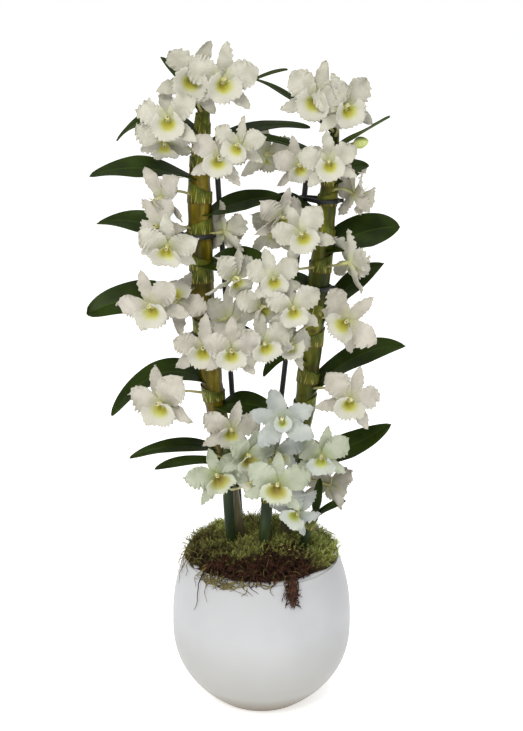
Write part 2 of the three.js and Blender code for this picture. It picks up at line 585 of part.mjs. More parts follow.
/** A bloom's face as one closed surface: sepals, petals and lip each grow out of their own side
 * of a small hub, and the column out of its front. */
function faceSolid(grow = 0) {
  const points = [];
  const faces = [];
  const add = (p) => points.push(p) - 1;
  const count = TEPALS.length;
  const corners = TEPALS.map((tepal, k) => {
    const step = ((tepal.angle - TEPALS[(k + 1) % count].angle + 720) % 360) / 2;
    return [HUB.half + grow, -HUB.half - grow].map((z) =>
      add(radial(tepal.angle - step, HUB.radius + grow, z)));
  });
  TEPALS.forEach((tepal, k) => {
    const [right, left] = [corners[k], corners[(k + count - 1) % count]];
    const root = [left[0], right[0], right[1], left[1]]; // anticlockwise as seen from the tip
    if (tepal.lip) {
      const rings = lipRings(grow).map((ring) => ring.map(add));
      const half = LIP.steps / 2;
      const [inner, outer] = [rings[0].slice(0, LIP.steps + 1), rings[0].slice(LIP.steps + 1)];
      [[root[0], root[1], inner], [root[2], root[3], outer]].forEach(([from, to, chain]) => {
        for (let j = 0; j < half; j++) faces.push(chain[j], from, chain[j + 1]);
        faces.push(chain[half], from, to);
        for (let j = half; j < LIP.steps; j++) faces.push(chain[j], to, chain[j + 1]);
      });
      faces.push(root[1], root[2], outer[0], root[1], outer[0], inner.at(-1));
      faces.push(root[3], root[0], inner[0], root[3], inner[0], outer.at(-1));
      joinRings(rings, faces);
      const rim = rings.at(-1);
      for (let j = 0; j < LIP.steps; j++) {
        const [a, b, c, d] = [rim[j], rim[j + 1], rim.at(-2 - j), rim.at(-1 - j)];
        faces.push(a, b, c, a, c, d);
      }
      return;
    }
    const blade = bladeRings(tepal, grow);
    const rings = blade.rings.map((ring) => ring.map(add));
    root.forEach((corner, i) => {
      faces.push(root[(i + 3) % 4], corner, rings[0][i], rings[0][i], corner, rings[0][(i + 1) % 4]);
    });
    joinRings(rings, faces);
    const tip = add(blade.tip);
    rings.at(-1).forEach((a, j) => faces.push(a, rings.at(-1)[(j + 1) % 4], tip));
  });
  for (let k = 1; k + 1 < count; k++) faces.push(corners[0][1], corners[k][1], corners[k + 1][1]);

  // The column: the front of the hub narrows to a square ring, which rises to the tip.
  const ring = (radius, y, z) =>
    [45, 135, -135, -45].map((angle) => add(radial(angle, radius + grow, z).setY(
      radial(angle, radius + grow, z).y + y)));
  const base = ring(COLUMN.root, 0, HUB.half + grow);
  const rim = corners.map((corner) => corner[0]); // between 90 and 27, 27 and -38, and so on
  [[rim[0], 0], [rim[1], 3], [rim[2], 3], [rim[3], 2], [rim[4], 1], [rim[5], 1]].forEach(
    ([corner, at], k, all) => {
      const [next, nextAt] = all[(k + 1) % count];
      faces.push(corner, base[at], next);
      if (nextAt !== at) faces.push(base[at], base[nextAt], next);
    });
  const tip = ring(COLUMN.tip, COLUMN.lift, COLUMN.length + grow);
  joinRings([base, tip], faces);
  faces.push(tip[0], tip[1], tip[2], tip[0], tip[2], tip[3]);
  return solidFrom(points, faces);
}

/** The matrix that puts a bloom of size 1 in its place. */
function bloomMatrix([, , , throat, yaw, pitch, roll, size]) {
  const [y, p, r] = [yaw, pitch, roll].map(rad);
  const front = new THREE.Vector3(Math.sin(y) * Math.cos(p), -Math.cos(y) * Math.cos(p), Math.sin(p));
  const upright = new THREE.Vector3(-Math.sin(y) * Math.sin(p), Math.cos(y) * Math.sin(p), Math.cos(p));
  const level = new THREE.Vector3().crossVectors(upright, front);
  const up = upright.clone().multiplyScalar(Math.cos(r)).addScaledVector(level, Math.sin(r));
  const right = level.multiplyScalar(Math.cos(r)).addScaledVector(upright, -Math.sin(r));
  return new THREE.Matrix4().makeBasis(right, up, front).scale(new THREE.Vector3(size, size, size))
    .setPosition(vec(throat).addScaledVector(up, HUB.above * size));
}

const FACE = faceSolid();
const ROOM = faceSolid(GAP).add(FACE);

/** The stalk from inside the cane to behind the hub: it leaves sideways and swells to the ovary. */
function stalkSolid(bloom, grow = 0) {
  const [, stemName, z] = bloom;
  const stem = STEMS.find((one) => one.name === stemName);
  const matrix = bloomMatrix(bloom);
  const front = new THREE.Vector3().setFromMatrixColumn(matrix, 2).normalize();
  const root = stemAt(stem, z);
  const end = new THREE.Vector3().setFromMatrixPosition(matrix);
  const out = end.clone().sub(root);
  const far = out.length();
  out.setZ(0).normalize();
  const bend = [
    root.clone().addScaledVector(out, 0.45 * far),
    end.clone().addScaledVector(front, -0.5 * far),
  ];
  const curve = new THREE.CubicBezierCurve3(root, ...bend, end);
  const rings = STALK.radii.map((radius, i) => {
    const t = i / (STALK.radii.length - 1);
    return ringAcross(curve.getPoint(t), curve.getTangent(t), radius + grow, 4);
  });
  return loft(rings);
}

/** The buds: two egg shapes on one stalk. */
function budSolid(bud) {
  const stem = STEMS.find((one) => one.name === bud.stem);
  const root = stemAt(stem, bud.z);
  const tip = vec(bud.tip);
  const along = tip.clone().sub(root).normalize();
  const [length, radius] = bud.size;
  const egg = (start, way, k) =>
    loft([0, 0.3, 0.7].map((t, i) => ringAcross(start.clone().addScaledVector(way, t * length * k), way,
      radius * k * [0.45, 1, 0.85][i], 5)), start.clone().addScaledVector(way, length * k));
  const stalk = loft([root, tip.clone().addScaledVector(along, 2)].map((p) => ringAcross(p, along, 1.3, 4)));
  const lower = along.clone().applyAxisAngle(new THREE.Vector3(0, 1, 0), 1.1);
  return stalk.add(egg(tip.clone(), along, 1)).add(egg(tip.clone().addScaledVector(along, -5), lower, 0.7));
}

// ---------------------------------------------------------------- assembly
const group = new THREE.Group();
function place(name, solid, finish) {
  const mesh = new THREE.Mesh(geometryOf(solid), new THREE.MeshStandardMaterial({ metalness: 0, ...finish }));
  mesh.name = name;
  group.add(mesh);
}

const stakesRoom = STAKES.map((stake) => stakeSolid(stake, GAP));
const clipsRoom = CLIPS.map((clip) => clipSolid(clip, GAP));
const stemsRoom = STEMS.map((stem) => stemSolid(stem, GAP).add(stemSolid(stem)));
const canesRoom = STEMS.map((stem) => caneSolid(stem, GAP));
const holes = [...canesRoom, ...stakesRoom];

place("pot", turned(potOutline(), POT_SIDES), COLOURS.pot);
place("bark_mix", cutClear(turned(mixOutline(), POT_SIDES / 2), holes), COLOURS.mix);
const potRoom = turned(potOutline(GAP), POT_SIDES);
place("moss", largestBody(cutClear(mossSolid(), [potRoom, ...holes])), COLOURS.moss);
STEMS.forEach((stem, i) => {
  const before = [...stemsRoom.slice(0, i), ...stakesRoom, ...clipsRoom];
  place(stem.name, largestBody(cutClear(stemSolid(stem), before)), COLOURS.leafy);
});
STAKES.forEach((stake) => place(stake.name, stakeSolid(stake), COLOURS.stake));
CLIPS.forEach((clip) => place(clip.name, clipSolid(clip), COLOURS.stake));

// A bloom's face gives way to its neighbours' stalks and to the faces in front of it, and the
// whole bloom to the stems, stakes and clips.
const faces = BLOOMS.map((bloom) => FACE.transform(bloomMatrix(bloom).elements));
const facesRoom = BLOOMS.map((bloom) => ROOM.transform(bloomMatrix(bloom).elements));
const stalks = BLOOMS.map((bloom) => stalkSolid(bloom));
const stalksRoom = BLOOMS.map((bloom) => stalkSolid(bloom, GAP));
BLOOMS.forEach(([name], i) => {
  const before = [...facesRoom.slice(0, i), ...stalksRoom.filter((_, j) => j !== i)];
  const bloom = cutClear(faces[i], before).add(stalks[i]);
  place(name, largestBody(cutClear(bloom, [...stemsRoom, ...stakesRoom, ...clipsRoom])), COLOURS.bloom);
});
place(BUD.name, largestBody(cutClear(budSolid(BUD), [...stemsRoom, ...facesRoom, ...stalksRoom])), COLOURS.bud);

export default group;
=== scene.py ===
import math
import random

import bpy
import numpy as np
from mathutils import Matrix, Vector, noise


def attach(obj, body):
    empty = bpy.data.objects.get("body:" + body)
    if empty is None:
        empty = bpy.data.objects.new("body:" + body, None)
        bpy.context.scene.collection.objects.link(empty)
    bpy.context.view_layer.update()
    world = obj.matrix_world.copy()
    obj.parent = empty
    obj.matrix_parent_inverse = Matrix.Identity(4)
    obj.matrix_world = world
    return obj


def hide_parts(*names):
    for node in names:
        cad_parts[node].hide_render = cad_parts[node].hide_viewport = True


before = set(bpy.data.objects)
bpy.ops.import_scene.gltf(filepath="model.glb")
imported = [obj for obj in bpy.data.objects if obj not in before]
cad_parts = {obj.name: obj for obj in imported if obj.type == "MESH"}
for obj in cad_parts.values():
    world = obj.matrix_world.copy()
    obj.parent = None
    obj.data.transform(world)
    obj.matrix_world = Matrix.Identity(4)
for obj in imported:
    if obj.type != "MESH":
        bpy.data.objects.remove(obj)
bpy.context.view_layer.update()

MM = 0.001
UP = np.array([0.0, 0.0, 1.0])
FULL_TURN = 2 * math.pi
THICK = {"sheath": 0.45, "blade": 0.9, "tepal": 0.55, "lip": 0.5}  # of the thin pieces
SHARP_EDGE = 50  # degrees between two faces, past which their edge stays sharp
TEETH = 120  # how many uneven teeth an edge may have


# ------------------------------------------------------------------ small helpers
def only(*pieces):
    """Selects these pieces and nothing else."""
    bpy.ops.object.select_all(action="DESELECT")
    for piece in pieces:
        piece.select_set(True)
    bpy.context.view_layer.objects.active = pieces[0]


def added(name):
    """The piece that the last operator added, under its own name."""
    piece = bpy.context.active_object
    piece.name = piece.data.name = name
    return piece


def apply_place():
    bpy.ops.object.transform_apply(location=True, rotation=True, scale=True)


def fresh(name, add, **settings):
    """A new primitive, added with nothing else selected and with its place applied."""
    bpy.ops.object.select_all(action="DESELECT")
    add(**settings)
    apply_place()
    return added(name)


def linked(name, data):
    """A new object for its data, in the scene."""
    piece = bpy.data.objects.new(name, data)
    bpy.context.scene.collection.objects.link(piece)
    return piece


def corners(piece):
    """The piece's corners as rows of x, y, z."""
    flat = np.empty(len(piece.data.vertices) * 3, np.float32)
    piece.data.vertices.foreach_get("co", flat)
    return flat.reshape(-1, 3).astype(float)


def set_corners(piece, rows):
    piece.data.vertices.foreach_set("co", np.asarray(rows, np.float32).ravel())
    piece.data.update()


def mark(piece, name, values):
    """Gives each corner a number that the piece's finish reads."""
    piece.data.attributes.new(name, "FLOAT", "POINT").data.foreach_set("value", values)


def take_all():
    bpy.ops.mesh.select_all(action="SELECT")


def in_edit(piece, *steps):
    """Runs the steps in edit mode with all of the piece selected."""
    only(piece)
    bpy.ops.object.mode_set(mode="EDIT")
    take_all()
    for step in steps:
        step()
    bpy.ops.object.mode_set(mode="OBJECT")


def weld():
    bpy.ops.mesh.remove_doubles(threshold=0.02 * MM)


def face_out():
    bpy.ops.mesh.normals_make_consistent(inside=False)


def apply_modifier(piece, kind, **settings):
    only(piece)
    modifier = piece.modifiers.new(kind.title(), kind)
    for name, value in settings.items():
        setattr(modifier, name, value)
    bpy.ops.object.modifier_apply(modifier=modifier.name)


def joined(name, pieces):
    """One piece from several, which keeps each one's finish."""
    only(*pieces)
    if len(pieces) > 1:
        bpy.ops.object.join()
    apply_place()
    return added(name)


def dressed(piece, *finishes):
    piece.data.materials.clear()
    for finish in finishes:
        piece.data.materials.append(finish)
    return piece


def kept(piece, slot, *nodes):
    """A finished piece: smooth, on the plant's one body, in place of its CAD nodes."""
    only(piece)
    bpy.ops.object.shade_smooth_by_angle(angle=math.radians(SHARP_EDGE))
    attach(piece, "root")
    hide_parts(*nodes)
    return piece


def shaped_sheet(name, across, along, place):
    """A grid of faces whose corners go to place(u, v), u from -1 to 1 and v from 0 to 1."""
    piece = fresh(name, bpy.ops.mesh.primitive_grid_add, x_subdivisions=across,
                  y_subdivisions=along, size=2)
    flat = corners(piece)
    set_corners(piece, place(flat[:, 0], (flat[:, 1] + 1) / 2) * MM)
    return piece


def curve_through(table, x):
    """A smooth line through the (x, y) pairs of a table."""
    xs, ys = np.array(table, float).T
    slope = np.gradient(ys, xs)
    i = np.clip(np.searchsorted(xs, x) - 1, 0, len(xs) - 2)
    step = xs[i + 1] - xs[i]
    t = np.clip((x - xs[i]) / step, 0, 1)
    return ((2 * t**3 - 3 * t**2 + 1) * ys[i] + (t**3 - 2 * t**2 + t) * step * slope[i]
            + (3 * t**2 - 2 * t**3) * ys[i + 1] + (t**3 - t**2) * step * slope[i + 1])


def fade(low, high, x):
    """0 below low, 1 above high, smooth between them."""
    t = np.clip((x - low) / (high - low), 0, 1)
    return t * t * (3 - 2 * t)


def unit(rows):
    return rows / np.linalg.norm(rows, axis=-1, keepdims=True)


def jagged(x, seed):
    """Uneven teeth along an edge, 0 to 1, one for each unit of x."""
    return np.interp(x, np.arange(TEETH), np.random.default_rng(seed).uniform(0, 1, TEETH))


def frill(x, seed):
    """Uneven scallops along an edge, about one for each unit of x: 1 on a lobe, 0 in a notch."""
    lobes = 0.5 - 0.5 * np.cos(2 * np.pi * (x + 1.1 * jagged(0.5 * x, seed)))
    notches = (1 - lobes) * (0.15 + 0.85 * jagged(0.8 * x, seed + 5))
    return 1 - notches - 0.25 * jagged(2.3 * x % (TEETH - 2), seed + 9)


def roughed(rows, scale, seed):
    """Soft noise at each point, about -1 to 1, with lumps of 1/scale millimetres."""
    shift = Vector((seed, 2 * seed, -seed))
    return np.array([noise.noise(Vector(row) * scale + shift) for row in rows])


def round_at(turn, radius, z=0.0):
    """A point at an angle in radians and a distance from the middle."""
    return np.array([radius * math.cos(turn), radius * math.sin(turn), z])


def strands(name, lines, sides=1):
    """Fine round threads: each line is a list of (point, radius)."""
    data = bpy.data.curves.new(name, "CURVE")
    data.dimensions = "3D"
    data.bevel_depth = 1.0
    data.bevel_resolution = sides
    data.use_fill_caps = True
    data.resolution_u = 2
    for line in lines:
        spline = data.splines.new("POLY")
        spline.points.add(len(line) - 1)
        for point, (place, radius) in zip(spline.points, line):
            point.co = (*(np.asarray(place) * MM), 1)
            point.radius = radius * MM
    only(linked(name, data))
    bpy.ops.object.convert(target="MESH")
    return added(name)


# ------------------------------------------------------------------ finishes
def colour(code):
    """An sRGB hex colour as the linear values that the shaders take."""
    values = [int(code[i:i + 2], 16) / 255 for i in (1, 3, 5)]
    return (*[v / 12.92 if v <= 0.04045 else ((v + 0.055) / 1.055) ** 2.4 for v in values], 1)


def lead(tree, source, socket):
    """Links a socket, or a node's first output, to a shader's or a node's socket."""
    tree.links.new(source.outputs[0] if isinstance(source, bpy.types.Node) else source, socket)


def put(tree, kind, settings=None, feeds=None):
    """Adds a node: settings are its values and its sockets' values, feeds are its links."""
    node = tree.nodes.new("ShaderNode" + kind)
    for name, value in (settings or {}).items():
        if name == "stops":
            ramp = node.color_ramp.elements
            while len(ramp) < len(value):
                ramp.new(0.5)
            for stop, (place, code) in zip(ramp, value):
                stop.position, stop.color = place, colour(code)
        elif isinstance(name, int) or name in node.inputs:
            node.inputs[name].default_value = value
        else:
            setattr(node, name, value)
    for name, source in (feeds or {}).items():
        lead(tree, source, node.inputs[name])
    return node


def finish(name, **sockets):
    """A new finish and its nodes, with the given values on its shader's own sockets."""
    made = bpy.data.materials.new(name)
    made.use_nodes = True
    shader = made.node_tree.nodes["Principled BSDF"]
    for socket, value in sockets.items():
        shader.inputs[socket.replace("_", " ")].default_value = value
    return made, made.node_tree


def covered(made, tone, relief):
    """Leads a finish's colour and its relief to its shader."""
    shader = made.node_tree.nodes["Principled BSDF"]
    lead(made.node_tree, tone, shader.inputs["Base Color"])
    lead(made.node_tree, relief, shader.inputs["Normal"])
    return made


def mottled(made, scale, detail, stops, strength, depth):
    """Covers a finish in patches of two tones, with a relief of the same patches."""
    tree = made.node_tree
    spot = put(tree, "TexCoord").outputs["Object"]
    patch = put(tree, "TexNoise", {"Scale": scale, "Detail": detail}, {"Vector": spot})
    tone = put(tree, "ValToRGB", {"stops": stops}, {"Fac": patch})
    bump = put(tree, "Bump", {"Strength": strength, "Distance": depth}, {"Height": patch})
    return covered(made, tone, bump)


def satin_glaze():
    """Earthenware under a satin white glaze: a soft broad shine and the faint swell of a dipped
    coat, darker towards its foot, partly where the glaze thins and mostly painted shade, and brown
    just over the table."""
    made, tree = finish("satin_white_glaze", Roughness=0.42, Specular_IOR_Level=0.18)
    spot = put(tree, "TexCoord").outputs["Object"]
    cloud = put(tree, "TexNoise", {"Scale": 22.0, "Detail": 3.0}, {"Vector": spot})
    coat = put(tree, "ValToRGB", {"stops": [(0.3, "#b1b2b5"), (0.7, "#b8b9bc")]}, {"Fac": cloud})
    height = put(tree, "SeparateXYZ", feeds={"Vector": spot})
    # Painted shade: the glaze is mixed towards a duller grey from 85 mm down to its foot, partly a
    # thinner glaze, mostly shade where less light reaches the low pot.
    thin = put(tree, "MapRange", {"From Min": 0.0, "From Max": 0.085, "To Min": 1.0, "To Max": 0.0},
               {"Value": height.outputs["Z"]})
    duller = put(tree, "Mix", {"data_type": "RGBA", 7: colour("#918f87")}, {0: thin, 6: coat})
    low = put(tree, "MapRange", {"From Min": 0.003, "From Max": 0.026, "To Min": 0.95,
                                 "To Max": 0.0}, {"Value": height.outputs["Z"]})
    mixed = put(tree, "Mix", {"data_type": "RGBA", 7: colour("#5e4f38")},
                {0: low, 6: duller.outputs[2]})
    swell = put(tree, "TexNoise", {"Scale": 60.0, "Detail": 2.0}, {"Vector": spot})
    bump = put(tree, "Bump", {"Strength": 0.08, "Distance": 0.0006}, {"Height": swell})
    return covered(made, mixed.outputs[2], bump)


def fir_bark():
    """Chopped fir bark: dull brown chips of 6 to 12 mm, darker towards their edges as painted shade
    in the gaps between them.
    """
    made, tree = finish("chopped_fir_bark", Roughness=0.95)
    spot = put(tree, "TexCoord").outputs["Object"]
    chips = put(tree, "TexVoronoi", {"Scale": 110.0}, {"Vector": spot})
    # Painted shade: each chip darkens towards its edge, where the gaps between chips lie.
    tone = put(tree, "ValToRGB", {"stops": [(0.0, "#5a4029"), (0.6, "#3a281a"), (1.0, "#1c130d")]},
               {"Fac": chips})
    bump = put(tree, "Bump", {"Strength": 0.8, "Distance": 0.003}, {"Height": chips})
    return covered(made, tone, bump)


def petal_skin(name, body, root, veins):
    """A dendrobium petal: thick white tissue that lets some light through, with fine veins that
    fan out from its root, matt because its skin is covered in tiny domes."""
    made, tree = finish(name, Roughness=0.6, Subsurface_Weight=0.08, Subsurface_Scale=0.003,
                        Subsurface_Radius=(1.0, 0.9, 0.7), Specular_IOR_Level=0.3)
    coords = put(tree, "TexCoord").outputs
    spot, uv = coords["Object"], put(tree, "SeparateXYZ", feeds={"Vector": coords["UV"]})
    fan = put(tree, "Math", {"operation": "MULTIPLY", 1: 9 * math.pi}, {0: uv.outputs["X"]})
    wave = put(tree, "Math", {"operation": "SINE"}, {0: fan})
    line = put(tree, "Math", {"operation": "ABSOLUTE"}, {0: wave})
    vein = put(tree, "MapRange", {"From Min": 0.0, "From Max": 0.35, "To Min": 1.0, "To Max": 0.0},
               {"Value": line})
    patch = put(tree, "TexNoise", {"Scale": 90.0, "Detail": 3.0}, {"Vector": spot})
    tone = put(tree, "ValToRGB", {"stops": [(0.35, body), (0.75, veins)]}, {"Fac": patch})
    faint = put(tree, "Math", {"operation": "MULTIPLY", 1: 0.22}, {0: vein})
    veined = put(tree, "Mix", {"data_type": "RGBA", 7: colour(veins)}, {0: faint, 6: tone})
    base = put(tree, "MapRange", {"From Min": 0.04, "From Max": 0.3, "To Min": 0.8, "To Max": 0.0},
               {"Value": uv.outputs["Y"]})
    rooted = put(tree, "Mix", {"data_type": "RGBA", 7: colour(root)},
                 {0: base, 6: veined.outputs[2]})
    pucker = put(tree, "TexNoise", {"Scale": 230.0, "Detail": 2.0}, {"Vector": spot})
    relief = put(tree, "Math", {"operation": "MULTIPLY_ADD", 1: 2.2}, {0: pucker, 2: vein})
    bump = put(tree, "Bump", {"Strength": 0.4, "Distance": 0.0006}, {"Height": relief})
    return covered(made, rooted.outputs[2], bump)


def lip_skin(name, rim, glow, disc, throat, spread=1.0):
    """The lip: white and downy at its rim, with a coloured disc round the throat that is deepest
    inside. The disc reaches further out where spread is larger."""
    made, tree = finish(name, Roughness=0.65, Subsurface_Weight=0.08, Subsurface_Scale=0.003,
                        Subsurface_Radius=(1.0, 0.9, 0.6), Specular_IOR_Level=0.25)
    spot = put(tree, "TexCoord").outputs["Object"]
    down = put(tree, "TexNoise", {"Scale": 420.0, "Detail": 2.0}, {"Vector": spot})
    place = put(tree, "Attribute", {"attribute_name": "disc"})
    ragged = put(tree, "Math", {"operation": "MULTIPLY_ADD", 1: 0.2},
                 {0: down, 2: place.outputs["Fac"]})
    depth = put(tree, "Math", {"operation": "SUBTRACT", 1: 0.1}, {0: ragged})
    tone = put(tree, "ValToRGB", {"stops": [
        (0.0, throat), (0.2 * spread, throat), (0.4 * spread, disc), (0.6 * spread, glow),
        (0.82 * spread, rim)]}, {"Fac": depth})
    bump = put(tree, "Bump", {"Strength": 0.25, "Distance": 0.0004}, {"Height": down})
    return covered(made, tone, bump)


def smooth_tissue(name, light, dark, lumps):
    """Smooth green plant skin, such as a stalk, an ovary or a bud, in two soft tones."""
    made, _ = finish(name, Roughness=0.5, Subsurface_Weight=0.12, Subsurface_Scale=0.003)
    return mottled(made, lumps, 4.0, [(0.35, dark), (0.65, light)], 0.2, 0.0003)


def cane_skin(name, ripe_tones, old_tones):
    """A ripe dendrobium cane: fleshy, glossy and lightly grooved along its length, in patches of
    olive and yellow, and duller near the moss where its old sheaths have weathered."""
    made, tree = finish(name, Roughness=0.36, Specular_IOR_Level=0.13, Coat_Weight=0.08,
                        Coat_Roughness=0.15)
    coords = put(tree, "TexCoord").outputs
    spot, uv = coords["Object"], put(tree, "SeparateXYZ", feeds={"Vector": coords["UV"]})
    long = put(tree, "Mapping", {"Scale": (1.0, 1.0, 0.25)}, {"Vector": spot})
    patch = put(tree, "TexNoise", {"Scale": 85.0, "Detail": 3.0}, {"Vector": long})
    ripe = put(tree, "ValToRGB", {"stops": list(zip((0.3, 0.45, 0.58, 0.72), ripe_tones))},
               {"Fac": patch})
    old = put(tree, "ValToRGB", {"stops": list(zip((0.3, 0.45, 0.6, 0.75), old_tones))},
              {"Fac": patch})
    height = put(tree, "SeparateXYZ", feeds={"Vector": spot})
    low = put(tree, "MapRange", {"From Min": 0.185, "From Max": 0.255, "To Min": 1.0,
                                 "To Max": 0.0}, {"Value": height.outputs["Z"]})
    aged = put(tree, "Mix", {"data_type": "RGBA"}, {0: low, 6: ripe, 7: old})
    ring = put(tree, "Attribute", {"attribute_name": "joint"})
    blotch = put(tree, "TexNoise", {"Scale": 190.0, "Detail": 3.0}, {"Vector": spot})
    broken = put(tree, "MapRange", {"From Min": 0.42, "From Max": 0.6}, {"Value": blotch})
    rust = put(tree, "Math", {"operation": "MULTIPLY"}, {0: ring.outputs["Fac"], 1: broken})
    scar = put(tree, "Mix", {"data_type": "RGBA", 7: colour("#42270f")},
               {0: rust, 6: aged.outputs[2]})
    groove = put(tree, "Math", {"operation": "MULTIPLY", 1: 32 * math.pi}, {0: uv.outputs["X"]})
    wave = put(tree, "Math", {"operation": "SINE"}, {0: groove})
    both = put(tree, "Math", {"operation": "MULTIPLY_ADD", 1: 0.4}, {0: wave, 2: patch})
    bump = put(tree, "Bump", {"Strength": 0.3, "Distance": 0.0005}, {"Height": both})
    return covered(made, scar.outputs[2], bump)


def sheath_skin():
    """The thin base of a leaf that wraps the cane: green skin that dries to a rusty foot, where
    stiff pale fibres about a millimetre apart fan out."""
    made, tree = finish("papery_leaf_sheath", Roughness=0.42, Specular_IOR_Level=0.14)
    coords = put(tree, "TexCoord").outputs
    spot, uv = coords["Object"], put(tree, "SeparateXYZ", feeds={"Vector": coords["UV"]})
    drift = put(tree, "TexNoise", {"Scale": 120.0, "Detail": 3.0}, {"Vector": spot})
    drawn = put(tree, "Mapping", {"Scale": (58.0, 1.4, 1.0)}, {"Vector": coords["UV"]})
    wave = put(tree, "TexNoise", {"Scale": 1.0, "Detail": 1.0}, {"Vector": drawn})
    fibre = put(tree, "MapRange", {"From Min": 0.54, "From Max": 0.64}, {"Value": wave})
    low = put(tree, "MapRange", {"From Min": 0.35, "From Max": 0.95, "To Min": 0.85, "To Max": 0.0},
              {"Value": uv.outputs["Y"]})
    shown = put(tree, "Math", {"operation": "MULTIPLY"}, {0: fibre, 1: low})
    skin = put(tree, "ValToRGB",
               {"stops": [(0.3, "#36420f"), (0.55, "#58601b"), (0.75, "#797329")]},
               {"Fac": drift})
    lined = put(tree, "Mix", {"data_type": "RGBA", 7: colour("#c4b26c")}, {0: shown, 6: skin})
    foot = put(tree, "MapRange", {"From Min": 0.0, "From Max": 0.12, "To Min": 0.8, "To Max": 0.0},
               {"Value": uv.outputs["Y"]})
    rusty = put(tree, "Mix", {"data_type": "RGBA", 7: colour("#5b3d1f")},
                {0: foot, 6: lined.outputs[2]})
    bump = put(tree, "Bump", {"Strength": 0.6, "Distance": 0.0005}, {"Height": wave})
    return covered(made, rusty.outputs[2], bump)


def leaf_skin(name, dark, light, rib, gloss):
    """A leathery leaf: waxy skin over close veins that run along the blade, and a paler midrib."""
    made, tree = finish(name, Roughness=gloss, Specular_IOR_Level=0.09)
    coords = put(tree, "TexCoord").outputs
    spot, uv = coords["Object"], put(tree, "SeparateXYZ", feeds={"Vector": coords["UV"]})
    patch = put(tree, "TexNoise", {"Scale": 55.0, "Detail": 4.0}, {"Vector": spot})
    tone = put(tree, "ValToRGB", {"stops": [(0.3, dark), (0.7, light)]}, {"Fac": patch})
    fan = put(tree, "Math", {"operation": "MULTIPLY", 1: 26 * math.pi}, {0: uv.outputs["X"]})
    wave = put(tree, "Math", {"operation": "SINE"}, {0: fan})
    centre = put(tree, "Math", {"operation": "SUBTRACT", 1: 0.5}, {0: uv.outputs["X"]})
    off = put(tree, "Math", {"operation": "ABSOLUTE"}, {0: centre})
    middle = put(tree, "MapRange", {"From Min": 0.012, "From Max": 0.04, "To Min": 0.5,
                                    "To Max": 0.0}, {"Value": off})
    lined = put(tree, "Mix", {"data_type": "RGBA", 7: colour(rib)}, {0: middle, 6: tone})
    bump = put(tree, "Bump", {"Strength": 0.12, "Distance": 0.0003}, {"Height": wave})
    return covered(made, lined.outputs[2], bump)


def black_plastic():
    """Moulded black polypropylene: dull black with a fine grain from the mould."""
    made, _ = finish("moulded_black_polypropylene", Roughness=0.45, IOR=1.49)
    return mottled(made, 1400.0, 2.0, [(0.3, "#121314"), (0.7, "#1d1e20")], 0.2, 0.0002)


def moss_green():
    """Sheet moss: soft matt shoots that run from dead brown through olive to fresh yellow-green;
    the number that picks the tone also carries painted shade and light.
    """
    made, tree = finish("living_sheet_moss", Roughness=0.85, Specular_IOR_Level=0.15)
    tone = put(tree, "Attribute", {"attribute_name": "freshness"})
    greens = put(tree, "ValToRGB", {"stops": [
        (0.0, "#180e07"), (0.2, "#3a2e1a"), (0.4, "#646238"), (0.6, "#888d4a"), (0.8, "#a9b160"),
        (1.0, "#cbd38b")]}, {"Fac": tone.outputs["Fac"]})
    spot = put(tree, "TexCoord").outputs["Object"]
    fine = put(tree, "TexNoise", {"Scale": 900.0, "Detail": 2.0}, {"Vector": spot})
    bump = put(tree, "Bump", {"Strength": 0.5, "Distance": 0.0006}, {"Height": fine})
    return covered(made, greens, bump)


def dry_fibre(name, light, dark):
    """Dead root and stem fibres: dull, hairy and uneven in colour."""
    made, _ = finish(name, Roughness=0.9, Specular_IOR_Level=0.15)
    return mottled(made, 260.0, 3.0, [(0.35, dark), (0.65, light)], 0.5, 0.0004)


GLAZE = satin_glaze()
BARK = fir_bark()
MOSS_GREEN = moss_green()
ROOT_FIBRE = dry_fibre("dead_root_fibre", "#4a2e20", "#160c07")
RUSSET_FIBRE = dry_fibre("russet_root_fibre", "#523729", "#22130b")
STRAW_FIBRE = dry_fibre("straw_fibre", "#7f7542", "#403a1d")
LEFT_CANE = cane_skin("ripe_cane_skin", ("#252303", "#433d08", "#685b10", "#968634"),
                      ("#413d2a", "#5d5840", "#787152", "#8f8768"))
RIGHT_CANE = cane_skin("green_cane_skin", ("#202904", "#3c4309", "#626315", "#8f8f36"),
                       ("#413d2a", "#5d5840", "#787152", "#8f8768"))
YOUNG_CANE = cane_skin("young_cane_skin", ("#2a360f", "#414d1c", "#5c6633", "#7c8152"),
                       ("#121d0d", "#1f2d15", "#323f24", "#50583a"))
SHEATH_SKIN = sheath_skin()
LEAF_TOP = leaf_skin("leaf_upper_skin", "#1a2605", "#2a390b", "#3e4f18", 0.42)
LEAF_BACK = leaf_skin("leaf_under_skin", "#2c3a13", "#3d4b1e", "#5a6534", 0.6)
PLASTIC = black_plastic()
STALK_SKIN = smooth_tissue("flower_stalk_skin", "#b4b67e", "#8f8656", 130.0)
COLUMN_WAX = smooth_tissue("column_wax", "#e2dfb4", "#c0bd72", 300.0)
ANTHER_CAP = smooth_tissue("anther_cap", "#cfc09a", "#5a3a1c", 420.0)
BUD_SKIN = smooth_tissue("flower_bud_skin", "#ccd28a", "#aab767", 90.0)
WHITE_PETAL = petal_skin("white_petal_skin", "#bbb9ad", "#b1b588", "#9f9d8e")
ROSY_PETAL = petal_skin("rosy_white_petal_skin", "#bbb7ad", "#b1b389", "#a19c90")
